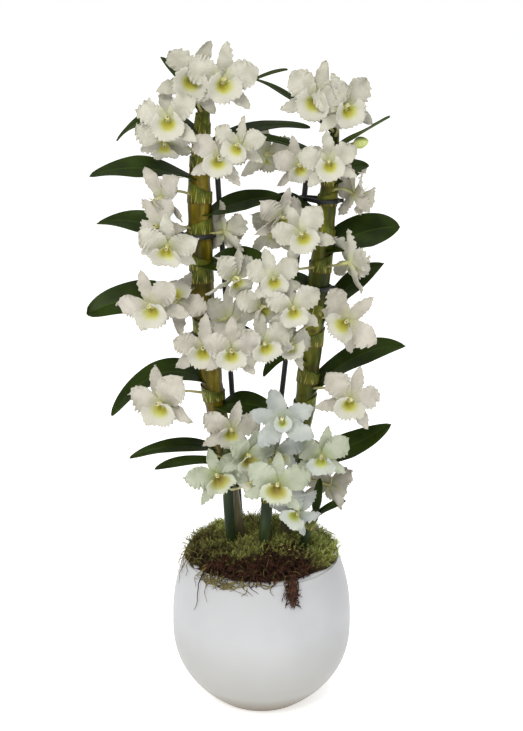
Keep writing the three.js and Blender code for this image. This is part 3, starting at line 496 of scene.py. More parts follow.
# The green-white and blue-white skins are worn only by the low blooms: their own tint, made a
# little darker as painted shade under the blooms above.
GREEN_PETAL_SHADED = petal_skin("green_white_petal_skin_shaded", "#acb19f", "#9ba570", "#949c85")
BLUE_PETAL_SHADED = petal_skin("blue_white_petal_skin_shaded", "#b0b4af", "#a4ae91", "#949b98")
GOLD_LIP = lip_skin("gold_disc_lip_skin", "#b7b5a9", "#b2b384", "#a4a44a", "#9b9337")
OCHRE_LIP = lip_skin("ochre_disc_lip_skin", "#b1b5a1", "#a9ab7a", "#9a954a", "#857836", 1.4)
PALE_LIP = lip_skin("pale_disc_lip_skin", "#b2b7ae", "#afb68a", "#a4aa53", "#9a9d41", 0.9)
# Painted shade: the ringed lip, worn by the low star bloom, is a little darker than its tint.
RING_LIP_SHADED = lip_skin("ringed_lip_skin_shaded", "#b0b5b0", "#afb78c", "#a3a964", "#7f8339", 1.05)
TINTS = {"white": (WHITE_PETAL, GOLD_LIP), "rosy": (ROSY_PETAL, GOLD_LIP),
         "green": (GREEN_PETAL_SHADED, OCHRE_LIP), "mint": (GREEN_PETAL_SHADED, PALE_LIP),
         "blue": (BLUE_PETAL_SHADED, PALE_LIP), "dusk": (BLUE_PETAL_SHADED, OCHRE_LIP),
         "star": (BLUE_PETAL_SHADED, RING_LIP_SHADED)}


# ------------------------------------------------------------------ pot and bark
POT = {"radius": 78.5, "widest_at": 70, "foot": 40, "mouth": 66, "height": 135, "wall": 5,
       "floor": 7}


def pot_radius(z):
    """The pot's outside radius at a height."""
    if z < POT["widest_at"]:
        below = 1 - z / POT["widest_at"]
        return POT["foot"] + (POT["radius"] - POT["foot"]) * (1 - below**2.5)
    above = (z - POT["widest_at"]) / (POT["height"] - POT["widest_at"])
    return POT["radius"] - (POT["radius"] - POT["mouth"]) * above**2.4


def beside_pot(z, lean=0.0):
    """How far out the pot's side is at a height, and above the rim its mouth, less a lean of so
    much for each millimetre up."""
    over = z - POT["height"]
    return pot_radius(z) if over < 0 else POT["mouth"] - lean * over


def make_pot():
    """The pot is spun from one line: foot, belly, rounded lip and the inside down to its floor."""
    wall, top = POT["wall"], POT["height"]
    line = [(0.0, 1.6), (32.0, 1.6), (34.0, 0.4), (36.0, 0.0), (38.2, 0.4)]
    line += [(pot_radius(z), z) for z in (1.5, *np.linspace(3.5, top - 2.6, 34))]
    lip = wall / 2
    line += [(POT["mouth"] - lip + lip * math.cos(a), top - lip + lip * math.sin(a))
             for a in np.linspace(0.1, math.pi - 0.1, 9)]
    line += [(pot_radius(z) - wall, z) for z in np.linspace(top - 5, 12, 20)]
    line += [(pot_radius(POT["floor"]) - wall - 4, POT["floor"]), (0.0, POT["floor"])]
    edges = [(i, i + 1) for i in range(len(line) - 1)]
    data = bpy.data.meshes.new("pot_glazed")
    data.from_pydata([(x * MM, 0, z * MM) for x, z in line], edges, [])
    pot = linked("pot_glazed", data)
    turned = {"steps": 112, "angle": FULL_TURN, "center": (0, 0, 0), "axis": (0, 0, 1)}
    in_edit(pot, lambda: bpy.ops.mesh.spin(**turned), take_all, weld, face_out)
    return kept(dressed(pot, GLAZE), "glazed_pot", "pot")


make_pot()
# The bark lies under the moss, so its solid stays, in a finish of its own.
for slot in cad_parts["bark_mix"].material_slots:
    slot.material = BARK


# ------------------------------------------------------------------ moss, shoots and fibres
MOSS = {"crown": 15, "overhang": 1.2, "edge": 4, "seat": 125.35, "above_rim": 0.6}
BRIM = POT["mouth"] + MOSS["overhang"]
LAID = POT["height"] + MOSS["above_rim"]
DRAWN_IN = 0.055  # the share by which the mat falls short of its round rim at the front
SHOOTS = 4200
# How many of each fibre, and the angle in degrees at which the tuft comes over the rim.
FIBRES = {"tuft": 26, "spikes": 150, "matted": 300, "rim_roots": 36, "threads": 240, "bits": 64,
          "stems": 46}
TUFT_AT = -69
STRAW = {"hanging": 0.5, "runner": 0.45, "thread": 0.22, "thread_length": 11}
# Fibres that hang over the rim: angle, how far down, drift in degrees, and a root's radius.
HANGING_ROOTS = [(-134, 31, -4, 0.6), (-98, 7, 3, 0.6), (-80, 9, -3, 0.55)]
HANGING_STRAW = [(-131, 20, 5), (-136, 12, -6), (-168, 16, -5), (-163, 20, 4), (-165, 12, 3),
                 (-170, 10, 5), (-172, 12, -4), (-158, 10, 6), (-125, 9, 6), (-118, 8, -6),
                 (-72, 10, -3), (-104, 9, 5)]
# Straws that run along under the rim: start, sweep in degrees, sag.
RUNNERS = [(-138, 30, 6), (-134, 26, 8), (-128, 30, 5), (-122, 18, 7), (-103, 8, 4), (-96, 18, 3),
           (-93, 14, 4.5)]


def hummock(x, y):
    """Soft hummocks, in millimetres, at a place on the moss."""
    return (2.2 * np.sin(0.145 * x + 1.1) * np.cos(0.16 * y + 0.4)
            + 1.6 * np.sin(0.29 * x - 0.23 * y + 2) + 1.2 * np.cos(0.36 * y + 0.19 * x))


def moss_top(x, y):
    """The height of the moss at a place."""
    rim = np.hypot(x, y) / BRIM
    return (LAID + MOSS["edge"] + (MOSS["crown"] - MOSS["edge"]) * (1 - rim**2)
            + hummock(x, y) * (1 - 0.65 * fade(0.8, 1, rim)))


def freshness(x, y):
    """How green the moss is at a place in millimetres: dead brown along the front, fresh on the
    right and olive on the left, each patch with a soft edge, and lighter at the back, partly paler
    moss and partly painted light where the blooms shade it."""
    cloud = roughed(np.c_[x, y, 0 * x], 0.07, 11)
    start = 42 - 5 * fade(-6, 10, x)
    dead = fade(start - 8, start + 8, 12 * cloud - y)
    dead = dead * fade(46, 32, x + 8 * cloud) * fade(-66, -54, x)
    green = 0.68 + 0.14 * fade(6, 46, x) - 0.3 * fade(18, 46, -x)
    green = green - 0.5 * fade(22, 44, x) * fade(16, 36, -y)
    # Lighter towards the back: partly paler moss, partly painted light against the shade of the
    # blooms above.
    green = green + 0.32 * fade(2, 30, y) + 0.2 * fade(22, 44, x) * fade(-18, -4, y)
    return np.clip((green + 0.5 * cloud) * (1 - 0.9 * dead), 0, 1)


def make_moss():
    """The mat itself, from a ball whose upper half is the lumpy top."""
    mat = fresh("moss_mat", bpy.ops.mesh.primitive_uv_sphere_add, segments=96, ring_count=48,
                radius=1)
    ball = corners(mat)
    level = np.hypot(ball[:, 0], ball[:, 1])
    upper = ball[:, 2] >= -0.01
    rim = np.where(upper, level, np.minimum(level, 0.86))
    x, y = (ball[:, :2] / np.maximum(level, 1e-6)[:, None] * (rim * BRIM)[:, None]).T
    lumps = roughed(np.c_[x, y, 0 * x], 0.16, 3) + 0.7 * roughed(np.c_[x, y, 0 * x], 0.4, 5)
    top = moss_top(x, y) - 4.2 + 2.2 * lumps
    z = np.where(upper, top, MOSS["seat"] + (LAID - MOSS["seat"]) * fade(0.8, 0.98, level))
    droop = upper * fade(0.9, 1.0, rim) * (1.2 + 1.2 * lumps)
    drawn = 1 - DRAWN_IN * upper * rim**4 * fade(26, 58, -y)
    x, y = x * drawn, y * drawn
    wider = 1 + 0.02 * lumps * rim
    set_corners(mat, np.c_[x * wider, y * wider, z - droop] * MM)
    # The mat under the shoots takes half their number: partly its browner under-layer, partly
    # painted shade in the gaps between shoots.
    mark(mat, "freshness", freshness(x, y) * 0.5)
    in_edit(mat, face_out)
    return kept(dressed(mat, MOSS_GREEN), "moss", "moss")


def moss_shoot(rng):
    """One feathery shoot, 1 long: small closed leaflets, left and right up a bent stem."""
    spots, faces, leaflets = [], [], 9
    bend = rng.uniform(0.1, 0.5)
    for k in range(leaflets):
        t = 0.12 + 0.88 * k / leaflets
        root = np.array([bend * t * t, 0, t])
        side = 1 if k % 2 else -1
        reach = 0.34 * (1.1 - 0.6 * t) * rng.uniform(0.8, 1.2)
        way = np.array([rng.uniform(0.0, 0.5), side * rng.uniform(0.7, 1.0), rng.uniform(0.5, 1.0)])
        tip = root + reach * way / np.linalg.norm(way)
        first = len(spots)
        spots += [root + [0, 0, -0.05], root + [0.045, 0, 0.03], root + [-0.045, 0, 0.05], tip]
        sides = ((0, 2, 1), (0, 1, 3), (1, 2, 3), (2, 0, 3))
        faces += [[first + a for a in three] for three in sides]
    return np.array(spots), np.array(faces)


def make_shoots():
    """Shoots all over the mat, each turned and leaned its own way."""
    rng = random.Random(7)
    models = [moss_shoot(rng) for _ in range(4)]
    spots, faces, tones, total = [], [], [], 0
    while len(spots) < SHOOTS:
        turn, rim = rng.uniform(0, FULL_TURN), math.sqrt(rng.uniform(0, 1.0)) * 0.97
        x, y, _ = round_at(turn, rim * BRIM)
        y = y * (1 - DRAWN_IN * rim**4 * (math.sin(turn) < -0.3))
        green = float(freshness(np.array([x]), np.array([y]))[0])
        lean = np.array([rng.gauss(0, 0.6), rng.gauss(0, 0.6), 0])
        spill = 0.1 + 0.3 * float(fade(0.75, 1.0, rim)) * (1 if y > -20 else 0)
        up = unit(UP * (1.0 - 0.4 * fade(0.8, 1.0, rim)) + round_at(turn, 1.0) * spill + lean)
        side = unit(np.cross(up, [rng.gauss(0, 1), rng.gauss(0, 1), rng.gauss(0, 1)]))
        length = rng.uniform(4, 9.5) * (0.7 if green < 0.3 else 1)
        model, shape = models[rng.randrange(4)]
        root = np.array([x, y, float(moss_top(x, y)) - 5.0 - 0.8 * float(fade(0.88, 1.02, rim))])
        turned = model @ np.array([side, np.cross(up, side), up]) * length + root
        spots.append(turned)
        faces.append(shape + total)
        tone = np.clip(green + rng.gauss(0, 0.1), 0, 1)
        # Each shoot darkens towards its root: partly older browner stem, partly painted shade down
        # in the mat.
        tones.append(tone * (0.5 + 0.5 * model[:, 2].clip(0, 1)))
        total += len(turned)
    data = bpy.data.meshes.new("moss_shoots")
    data.from_pydata((np.concatenate(spots) * MM).tolist(), [], np.concatenate(faces).tolist())
    shoots = linked("moss_shoots", data)
    mark(shoots, "freshness", np.concatenate(tones))
    in_edit(shoots, face_out)
    return kept(dressed(shoots, MOSS_GREEN), "moss", "moss")


def hanging_line(rng, angle, length, drift, radius, spread=0.0):
    """A fibre that comes over the rim at an angle and hangs down the pot's outside."""
    turn = math.radians(angle + rng.uniform(-spread, spread))
    steps = 9
    line = []
    for k in range(steps):
        t = k / (steps - 1)
        z = POT["height"] + 5 - (length + 5) * t**1.1
        stand_off = 3.2 * math.sin(math.pi * min(1, t * 1.1)) * rng.uniform(0.5, 1.0)
        r = beside_pot(z, 0.6) + (1.2 + radius + stand_off + spread * 0.12)
        swing = turn + math.radians(drift * t + 2.2 * math.sin(5 * t + angle) * (0.4 + t))
        line.append((round_at(swing, r, z), radius * (1.05 - 0.75 * t)))
    return line


def root_tuft(rng):
    """The tuft over the front rim: a thin bundle with short spikes all down it."""
    lines = [hanging_line(rng, TUFT_AT, rng.uniform(8, 20), rng.uniform(-3.5, 3.5),
                          rng.uniform(0.4, 0.7), 3.0) for _ in range(FIBRES["tuft"])]
    for _ in range(FIBRES["spikes"]):
        turn, drop = math.radians(TUFT_AT + rng.uniform(-3.2, 3.2)), rng.uniform(-3, 18)
        z = POT["height"] - drop
        root = round_at(turn, beside_pot(z, 1.0) + rng.uniform(1.0, 3.4), z)
        way = unit(np.array([rng.gauss(0, 1), rng.uniform(-0.7, 0.1), rng.gauss(-0.45, 0.6)]))
        lines.append([(root, 0.45), (root + way * rng.uniform(1.4, 3.2) + [0, 0, 0.4], 0.35),
                      (root + way * rng.uniform(3.0, 4.4 + 0.07 * drop), 0.18)])
    return lines


def curled(x, y, size, heading, bend, t):
    """A place on a curled fibre that lies across x, y: t is -0.5 and 0.5 at its ends."""
    turn = heading + bend * t
    return x + size * t * math.cos(turn), y + size * t * math.sin(turn)


def matted_roots(rng):
    """Short curled roots, matted over the dead moss along the front."""
    lines = []
    while len(lines) < FIBRES["matted"]:
        x, y = rng.uniform(-58, 40), -66 + 46 * rng.random() ** 1.4
        if math.hypot(x, y) > BRIM - 4 or (x < 0 and y > -38):
            continue
        heading, bend = rng.uniform(0, FULL_TURN), rng.uniform(-2.4, 2.4)
        size, lift = rng.uniform(8, 15), rng.uniform(1.5, 5)
        line = []
        for t in np.linspace(-0.5, 0.5, 6):
            px, py = curled(x, y, size, heading, bend, t)
            over = float(fade(0.97, 1.06, math.hypot(px, py) / BRIM))
            z = float(moss_top(px, py)) - 2.2 + lift * (0.25 - t * t) * 3 - 4 * over
            line.append((np.array([px, py, z]), 0.5))
        lines.append(line)
    return lines


def runner(start, sweep, sag):
    """A straw that leaves the moss, runs along the pot's shoulder under the rim and returns."""
    line = []
    for t in np.linspace(0, 1, 13):
        z = POT["height"] + 1.5 - sag * math.sin(math.pi * t) ** 0.7 + 0.8 * math.sin(9 * t + start)
        r = beside_pot(z) + 0.9 + 0.8 * math.sin(5 * t + start) ** 2
        line.append((round_at(math.radians(start + sweep * t), r, z), STRAW["runner"]))
    return line


def loose_threads(rng):
    """Fine straws that lie bowed across the moss, fewer of them over its dead front."""
    lines = []
    for _ in range(FIBRES["threads"]):
        turn, rim = rng.uniform(0, FULL_TURN), math.sqrt(rng.uniform(0, 1)) * 0.98
        x, y, _ = round_at(turn, rim * BRIM)
        if -56 < x < 40 and y < -34 and rng.random() < 0.5:
            continue
        heading, bow, bend = rng.uniform(0, FULL_TURN), rng.uniform(1.5, 5), rng.uniform(-1, 1)
        low = float(moss_top(x, y)) - 1.6
        line = []
        for t in np.linspace(-0.5, 0.5, 6):
            px, py = curled(x, y, STRAW["thread_length"], heading, bend, t)
            line.append((np.array([px, py, low + bow * (0.25 - t * t) * 4]), STRAW["thread"]))
        lines.append(line)
    return lines


def rim_bits(rng):
    """Short bits of straw that stick out over the rim at the front left."""
    lines = []
    for _ in range(FIBRES["bits"]):
        turn, drop = rng.triangular(-142, -96, -130), rng.uniform(-3, 4.5)
        z = POT["height"] - drop
        r = beside_pot(z, 1.0) + 0.9
        ends = [(turn, z, r),
                (turn + rng.gauss(0, 3), z - rng.uniform(1, 4), r + rng.uniform(0, 1.6)),
                (turn + rng.gauss(0, 5), z - rng.uniform(2, 7), r + rng.uniform(0.4, 3))]
        lines.append([(round_at(math.radians(angle), far, height), 0.34 - 0.08 * k)
                      for k, (angle, height, far) in enumerate(ends)])
    return lines


def dry_stems(rng):
    """A stand of thin dry stems that rise from the moss behind the canes."""
    lines = []
    for _ in range(FIBRES["stems"]):
        x, y = rng.gauss(-6, 9), rng.uniform(12, 46)
        root = np.array([x, y, float(moss_top(x, y)) - 3])
        way = np.array([rng.gauss(0, 0.35), rng.gauss(0, 0.3), 1.0])
        tall, nod = rng.uniform(8, 17), np.array([rng.gauss(0, 3), rng.gauss(0, 3), 0])
        lines.append([(root + way * tall * t + nod * t * t, 0.42 - 0.25 * t)
                      for t in np.linspace(0, 1, 5)])
    return lines


def make_fibres():
    """Roots and straw: a tuft over the front rim, matted roots behind it, fine strands and
    runners to the left, and loose threads all through the moss."""
    rng = random.Random(19)
    kept(dressed(strands("root_tuft", root_tuft(rng)), RUSSET_FIBRE), "moss", "moss")
    roots = matted_roots(rng)
    roots += [hanging_line(rng, rng.uniform(-126, -56), rng.uniform(-2.5, -0.4),
                           rng.uniform(-8, 8), rng.uniform(0.3, 0.5), 2)
              for _ in range(FIBRES["rim_roots"])]
    roots += [hanging_line(rng, *row) for row in HANGING_ROOTS]
    kept(dressed(strands("matted_roots", roots), ROOT_FIBRE), "moss", "moss")
    straw = [hanging_line(rng, *row, STRAW["hanging"]) for row in HANGING_STRAW]
    straw += [runner(*row) for row in RUNNERS]
    straw += loose_threads(rng) + rim_bits(rng) + dry_stems(rng)
    kept(dressed(strands("straw_strands", straw), STRAW_FIBRE), "moss", "moss")


make_moss()
make_shoots()
make_fibres()


# ------------------------------------------------------------------ canes, sheaths and leaves
FOOT = 78  # where canes and stakes start, down in the bark
NODE_SPACING = 18
STEM_STEP = 1.5  # how far above and below a point a stem's direction is taken
# Each leaf: height, heading, reach, fall, arch, width, twist.
STEMS = {
    "cane_left": {
        "path": [(-12, 9, FOOT), (-16, 8, 185), (-66, 0, 300), (-45, -2, 526)],
        "girth": [
            (78, 4.2), (160, 5.4), (215, 8), (300, 9.8), (430, 10.4), (470, 8.6), (500, 6.4),
            (526, 3.4)],
        "leaves": [
            (226, 184, 80, -5, 12, 17, -30), (266, -26, 58, 2, 12, 24, 54),
            (286, 172, 88, -32, 30, 27, -40), (316, 4, 46, 4, 26, 18, 30),
            (344, 188, 96, 6, 32, 36, -46), (388, -28, 68, 4, 14, 29, 50),
            (400, 172, 86, 21, 33, 24, -38), (428, -6, 66, 18, 18, 24, 42),
            (457, 183, 88, 5, 20, 25, -36), (485, 8, 88, 14, 22, 19, 22),
            (494, 166, 72, -6, 30, 21, -34), (510, 158, 36, 44, 32, 13, -10),
            (516, -14, 68, 30, 24, 12, 8)],
    },
    "cane_right": {
        "path": [(6, 9, FOOT), (34, 8, 190), (44, 0, 350), (59, -2, 503)],
        "girth": [
            (78, 4.2), (160, 5.6), (215, 7.4), (270, 9.2), (400, 9.2), (445, 7.6), (475, 5.8),
            (503, 3)],
        "leaves": [
            (215, -8, 80, 38, 12, 28, 46), (246, 168, 44, 0, 26, 18, -30),
            (277, 10, 86, 38, 44, 25, 42), (302, 196, 40, -6, 30, 18, -36),
            (335, 14, 60, 52, 44, 23, 36), (362, 160, 36, 4, 24, 18, -30),
            (399, 6, 64, 20, 22, 36, 50), (426, 182, 50, 16, 18, 23, -30),
            (452, 24, 36, 16, 20, 20, 40), (470, 190, 64, 24, 22, 18, -20),
            (482, -52, 64, 31, 18, 12, 14), (494, 172, 66, 44, 34, 13, -8)],
    },
    "cane_short_left": {
        "path": [(-15, -6, FOOT), (-29, -8, 130), (-30, -8, 190), (-27, -10, 250)],
        "girth": [(78, 3.4), (150, 4), (200, 5.2), (236, 4.6), (250, 3)],
        "leaves": [
            (219, 192, 63, 0, 10, 13, -22), (236, 40, 34, 14, 26, 14, 24)],
    },
    "cane_short_right": {
        "path": [(0, -10, FOOT), (0, -12, 130), (4, -12, 190), (12, -14, 252)],
        "girth": [(78, 3.8), (150, 4.8), (205, 5.6), (236, 4.6), (252, 3)],
        "leaves": [
            (196, 214, 32, 10, 26, 13, -20), (228, -34, 36, 8, 26, 15, 26)],
    },
    "shoot_right": {
        "path": [(20, -6, FOOT), (26, -14, 130), (40, -20, 160), (47, -20, 184)],
        "girth": [(78, 3), (130, 3.6), (170, 3.8), (184, 2.6)],
        "leaves": [
            (174, 8, 28, 14, 12, 9, 20), (180, 50, 6, 28, 16, 9, 10)],
    },
}


def bezier(path, t):
    """Points on a cubic curve at the shares t."""
    a, b, c, d = np.array(path, float)
    t = np.atleast_1d(t)[:, None]
    s = 1 - t
    return s**3 * a + 3 * s * s * t * b + 3 * s * t * t * c + t**3 * d


def stem_at(stem, z):
    """Points on a stem's middle line at the heights z."""
    shares = np.linspace(0, 1, 600)
    heights = bezier(stem["path"], shares)[:, 2]
    return bezier(stem["path"], np.interp(np.atleast_1d(z), heights, shares))


def round_stem(stem, z, turn, radius):
    """Points round a stem at the heights z."""
    along = unit(stem_at(stem, z + STEM_STEP) - stem_at(stem, z - STEM_STEP))
    side = unit(np.cross(np.array([0.0, 1.0, 0.0]), along))
    other = np.cross(along, side)
    way = np.cos(turn)[:, None] * side + np.sin(turn)[:, None] * other
    return stem_at(stem, z) + radius[:, None] * way


def stem_nodes(stem):
    """The heights of a cane's nodes: one below its foot and one above it, then at its leaves,
    where they aren't crowded, and at its tip."""
    top = stem["path"][3][2]
    found = [FOOT - 40, FOOT + 40]
    for z in [leaf[0] for leaf in stem["leaves"]] + [top]:
        if z - found[-1] > NODE_SPACING or z == top:
            found.append(z)
    return np.array(found, float)


def from_node(stem, z):
    """How far the heights z are from the nearest node."""
    return np.abs(z[:, None] - stem_nodes(stem)).min(axis=1)


def girth_at(stem, z):
    """A cane's radius: swollen between its nodes, drawn in at each, with a low ring round it."""
    heights, radii = np.array(stem["girth"], float).T
    nodes = stem_nodes(stem)
    i = np.clip(np.searchsorted(nodes, z) - 1, 0, len(nodes) - 2)
    share = np.clip((z - nodes[i]) / (nodes[i + 1] - nodes[i]), 0, 1)
    swell = 0.87 + 0.12 * np.sin(np.pi * share) ** 0.6
    ring = 0.35 * np.exp(-(from_node(stem, z) / 1.1) ** 2)
    return np.interp(z, heights, radii) * swell + ring


def make_cane(name, stem, skin):
    """A cane, wrapped from a sheet and closed at both ends."""
    low, high = stem["path"][0][2], stem["path"][3][2]
    rows = int((high - low) / 2.4)

    def place(u, v):
        z, turn = low + (high - low) * v, np.pi * u
        closing = fade(0, 0.004, v) ** 0.5 * np.clip((1 - v) / 0.008, 0, 1) ** 0.5
        ridges = 1 + 0.025 * np.sin(3 * turn + 0.05 * z) + 0.012 * np.sin(7 * turn)
        return round_stem(stem, z, turn, girth_at(stem, z) * closing * ridges)

    cane = shaped_sheet(name, 22, rows, place)
    in_edit(cane, weld, face_out)
    mark(cane, "joint", 0.85 * np.exp(-(from_node(stem, corners(cane)[:, 2] / MM) / 1.6) ** 2))
    return dressed(cane, skin)


def make_sheath(name, stem, leaf, rng):
    """The leaf's base wrapped round the cane below its blade, ragged and open at its top."""
    z0, heading = leaf[0], math.radians(leaf[1])
    length = rng.uniform(13, 17) if z0 > 200 else 10
    foot = z0 - length

    def place(u, v):
        turn = np.pi * u
        facing = np.cos(turn - heading)
        z = foot + v * length * (0.8 + 0.3 * facing) + 0.4 * v * np.sin(9 * turn)
        return round_stem(stem, z, turn, girth_at(stem, z) + 0.4 + 0.5 * v**3)

    sheath = shaped_sheet(name, 28, 8, place)
    in_edit(sheath, weld, face_out)
    apply_modifier(sheath, "SOLIDIFY", thickness=THICK["sheath"] * MM, offset=0)
    return dressed(sheath, SHEATH_SKIN)


def make_leaf(name, stem, leaf, rng):
    """A leaf blade: clasping at its root, channelled along its midrib and waved at its edges."""
    z0, heading, reach, fall, arch, width, twist = leaf
    out = round_at(math.radians(heading), 1.0)
    root = stem_at(stem, z0)[0]
    bow, tip = out * 0.55 * reach + UP * arch, out * reach + UP * fall
    phase, lean = rng.uniform(0, 6), rng.uniform(-0.05, 0.05)
    blunt = 0.52 if width < 14 or (width > 27 and heading > 90) else rng.uniform(0.58, 0.72)

    def place(u, v):
        t = 0.03 + 0.97 * v
        spot = root + (2 * t * (1 - t))[:, None] * bow + (t * t)[:, None] * tip
        along = unit((1 - 2 * t)[:, None] * bow + t[:, None] * tip)
        flat = np.cross(UP, out)
        turn = (math.radians(twist) * np.minimum(1, 1.8 * t))[:, None]
        side = (flat * np.cos(turn) + np.cross(along, flat) * np.sin(turn)
                + along * (along @ flat)[:, None] * (1 - np.cos(turn)))
        above = np.cross(along, side)
        taper = 0.72 + (blunt - 0.72) * fade(0.4, 0.8, t)
        broad = np.sin(np.pi * np.minimum(1, 0.1 + 0.9 * t) ** 0.82).clip(0) ** taper
        half = width / 2 * broad * (1 + lean * u)
        wave = 0.045 * width * u * np.sin(9 * t + phase) * np.abs(u)
        lift = 0.17 * half * np.abs(u) ** 1.4 + wave - 0.5 * np.exp(-(u / 0.1) ** 2)
        return spot - (half * u)[:, None] * side + lift[:, None] * above

    blade = shaped_sheet(name, 14, 30, place)
    in_edit(blade, weld)
    dressed(blade, LEAF_TOP, LEAF_BACK)
    apply_modifier(blade, "SOLIDIFY", thickness=THICK["blade"] * MM, offset=0, material_offset=1)
    return blade


CANE_SKINS = {"cane_left": LEFT_CANE, "cane_right": RIGHT_CANE}
for name, stem in STEMS.items():
    rng = random.Random(name)
    kept(make_cane(name + "_flesh", stem, CANE_SKINS.get(name, YOUNG_CANE)), "leafy_cane", name)
    sheaths = [make_sheath("sheath", stem, leaf, rng) for leaf in stem["leaves"]]
    kept(joined(name + "_sheaths", sheaths), "leafy_cane", name)
    blades = [make_leaf("blade", stem, leaf, rng) for leaf in stem["leaves"]]
    kept(joined(name + "_leaves", blades), "leafy_cane", name)


# ------------------------------------------------------------------ stakes and clips
STAKE_RADIUS = 2.3
STAKES = {"stake_left": ((-14, 18, FOOT), (-36, 15, 462)),
          "stake_right": ((-3, 18, FOOT), (37, 15, 462))}
CLIP = {"wall": 1.7, "height": 3.6, "slack": 0.5, "grip": (4.2, 2.4, 3.2), "grip_out": 1.8}
CLIPS = [("clip_left_upper", "cane_left", "stake_left", 414),
         ("clip_left_lower", "cane_left", "stake_left", 330),
         ("clip_right_upper", "cane_right", "stake_right", 442),
         ("clip_right_lower", "cane_right", "stake_right", 370)]


def make_stake(name, foot, top):
    """A plastic rod with rounded ends, from down in the bark to high up the cane."""
    foot, top = Vector(foot) * MM, Vector(top) * MM
    way = top - foot
    stake = fresh(name + "_rod", bpy.ops.mesh.primitive_cylinder_add, vertices=18,
                  radius=STAKE_RADIUS * MM, depth=way.length, location=(foot + top) / 2,
                  rotation=way.to_track_quat("Z", "Y").to_euler())
    apply_modifier(stake, "BEVEL", width=1.4 * MM, segments=4, limit_method="ANGLE")
    return kept(dressed(stake, PLASTIC), "support_plastic", name)


def make_clip(name, stem, stake, z):
    """A clip: a band pulled tight round cane and stake, with a grip where it snaps shut."""
    a = stem_at(STEMS[stem], z)[0]
    foot, top = (np.array(p, float) for p in STAKES[stake])
    b = foot + (top - foot) * (z - foot[2]) / (top[2] - foot[2])
    girth = np.interp(z, *np.array(STEMS[stem]["girth"], float).T)
    clear = CLIP["slack"] + CLIP["wall"] / 2
    ra, rb = girth * 1.04 + clear, STAKE_RADIUS + clear
    facing = math.atan2(b[1] - a[1], b[0] - a[0])
    opening = math.acos((ra - rb) / math.hypot(b[0] - a[0], b[1] - a[1]))
    big, small = 26, 10
    low = [0, 0, z - CLIP["height"] / 2]
    around_cane = np.linspace(facing + opening, facing + FULL_TURN - opening, big)
    around_stake = np.linspace(facing - opening, facing + opening, small)
    band = [a * [1, 1, 0] + round_at(turn, ra) + low for turn in around_cane]
    band += [b * [1, 1, 0] + round_at(turn, rb) + low for turn in around_stake]
    clip = fresh(name + "_band", bpy.ops.mesh.primitive_circle_add, vertices=big + small,
                 radius=0.01)
    set_corners(clip, np.array(band) * MM)
    rise = {"value": (0, 0, CLIP["height"] * MM)}
    in_edit(clip, lambda: bpy.ops.mesh.extrude_region_move(TRANSFORM_OT_translate=rise),
            take_all, face_out)
    apply_modifier(clip, "SOLIDIFY", thickness=CLIP["wall"] * MM, offset=0)
    apply_modifier(clip, "BEVEL", width=0.5 * MM, segments=2, limit_method="ANGLE")
    beside = ra + CLIP["grip_out"] if "right" in name else -ra - CLIP["grip_out"]
    grip = fresh("grip", bpy.ops.mesh.primitive_cube_add, size=1,
                 location=((a[0] + beside) * MM, a[1] * MM, z * MM),
                 scale=[side * MM for side in CLIP["grip"]])
    apply_modifier(grip, "BEVEL", width=0.9 * MM, segments=3)
    return kept(dressed(joined(name + "_band", [clip, grip]), PLASTIC), "support_plastic", name)


for name, (foot, top) in STAKES.items():
    make_stake(name, foot, top)
for row in CLIPS:
    make_clip(*row)


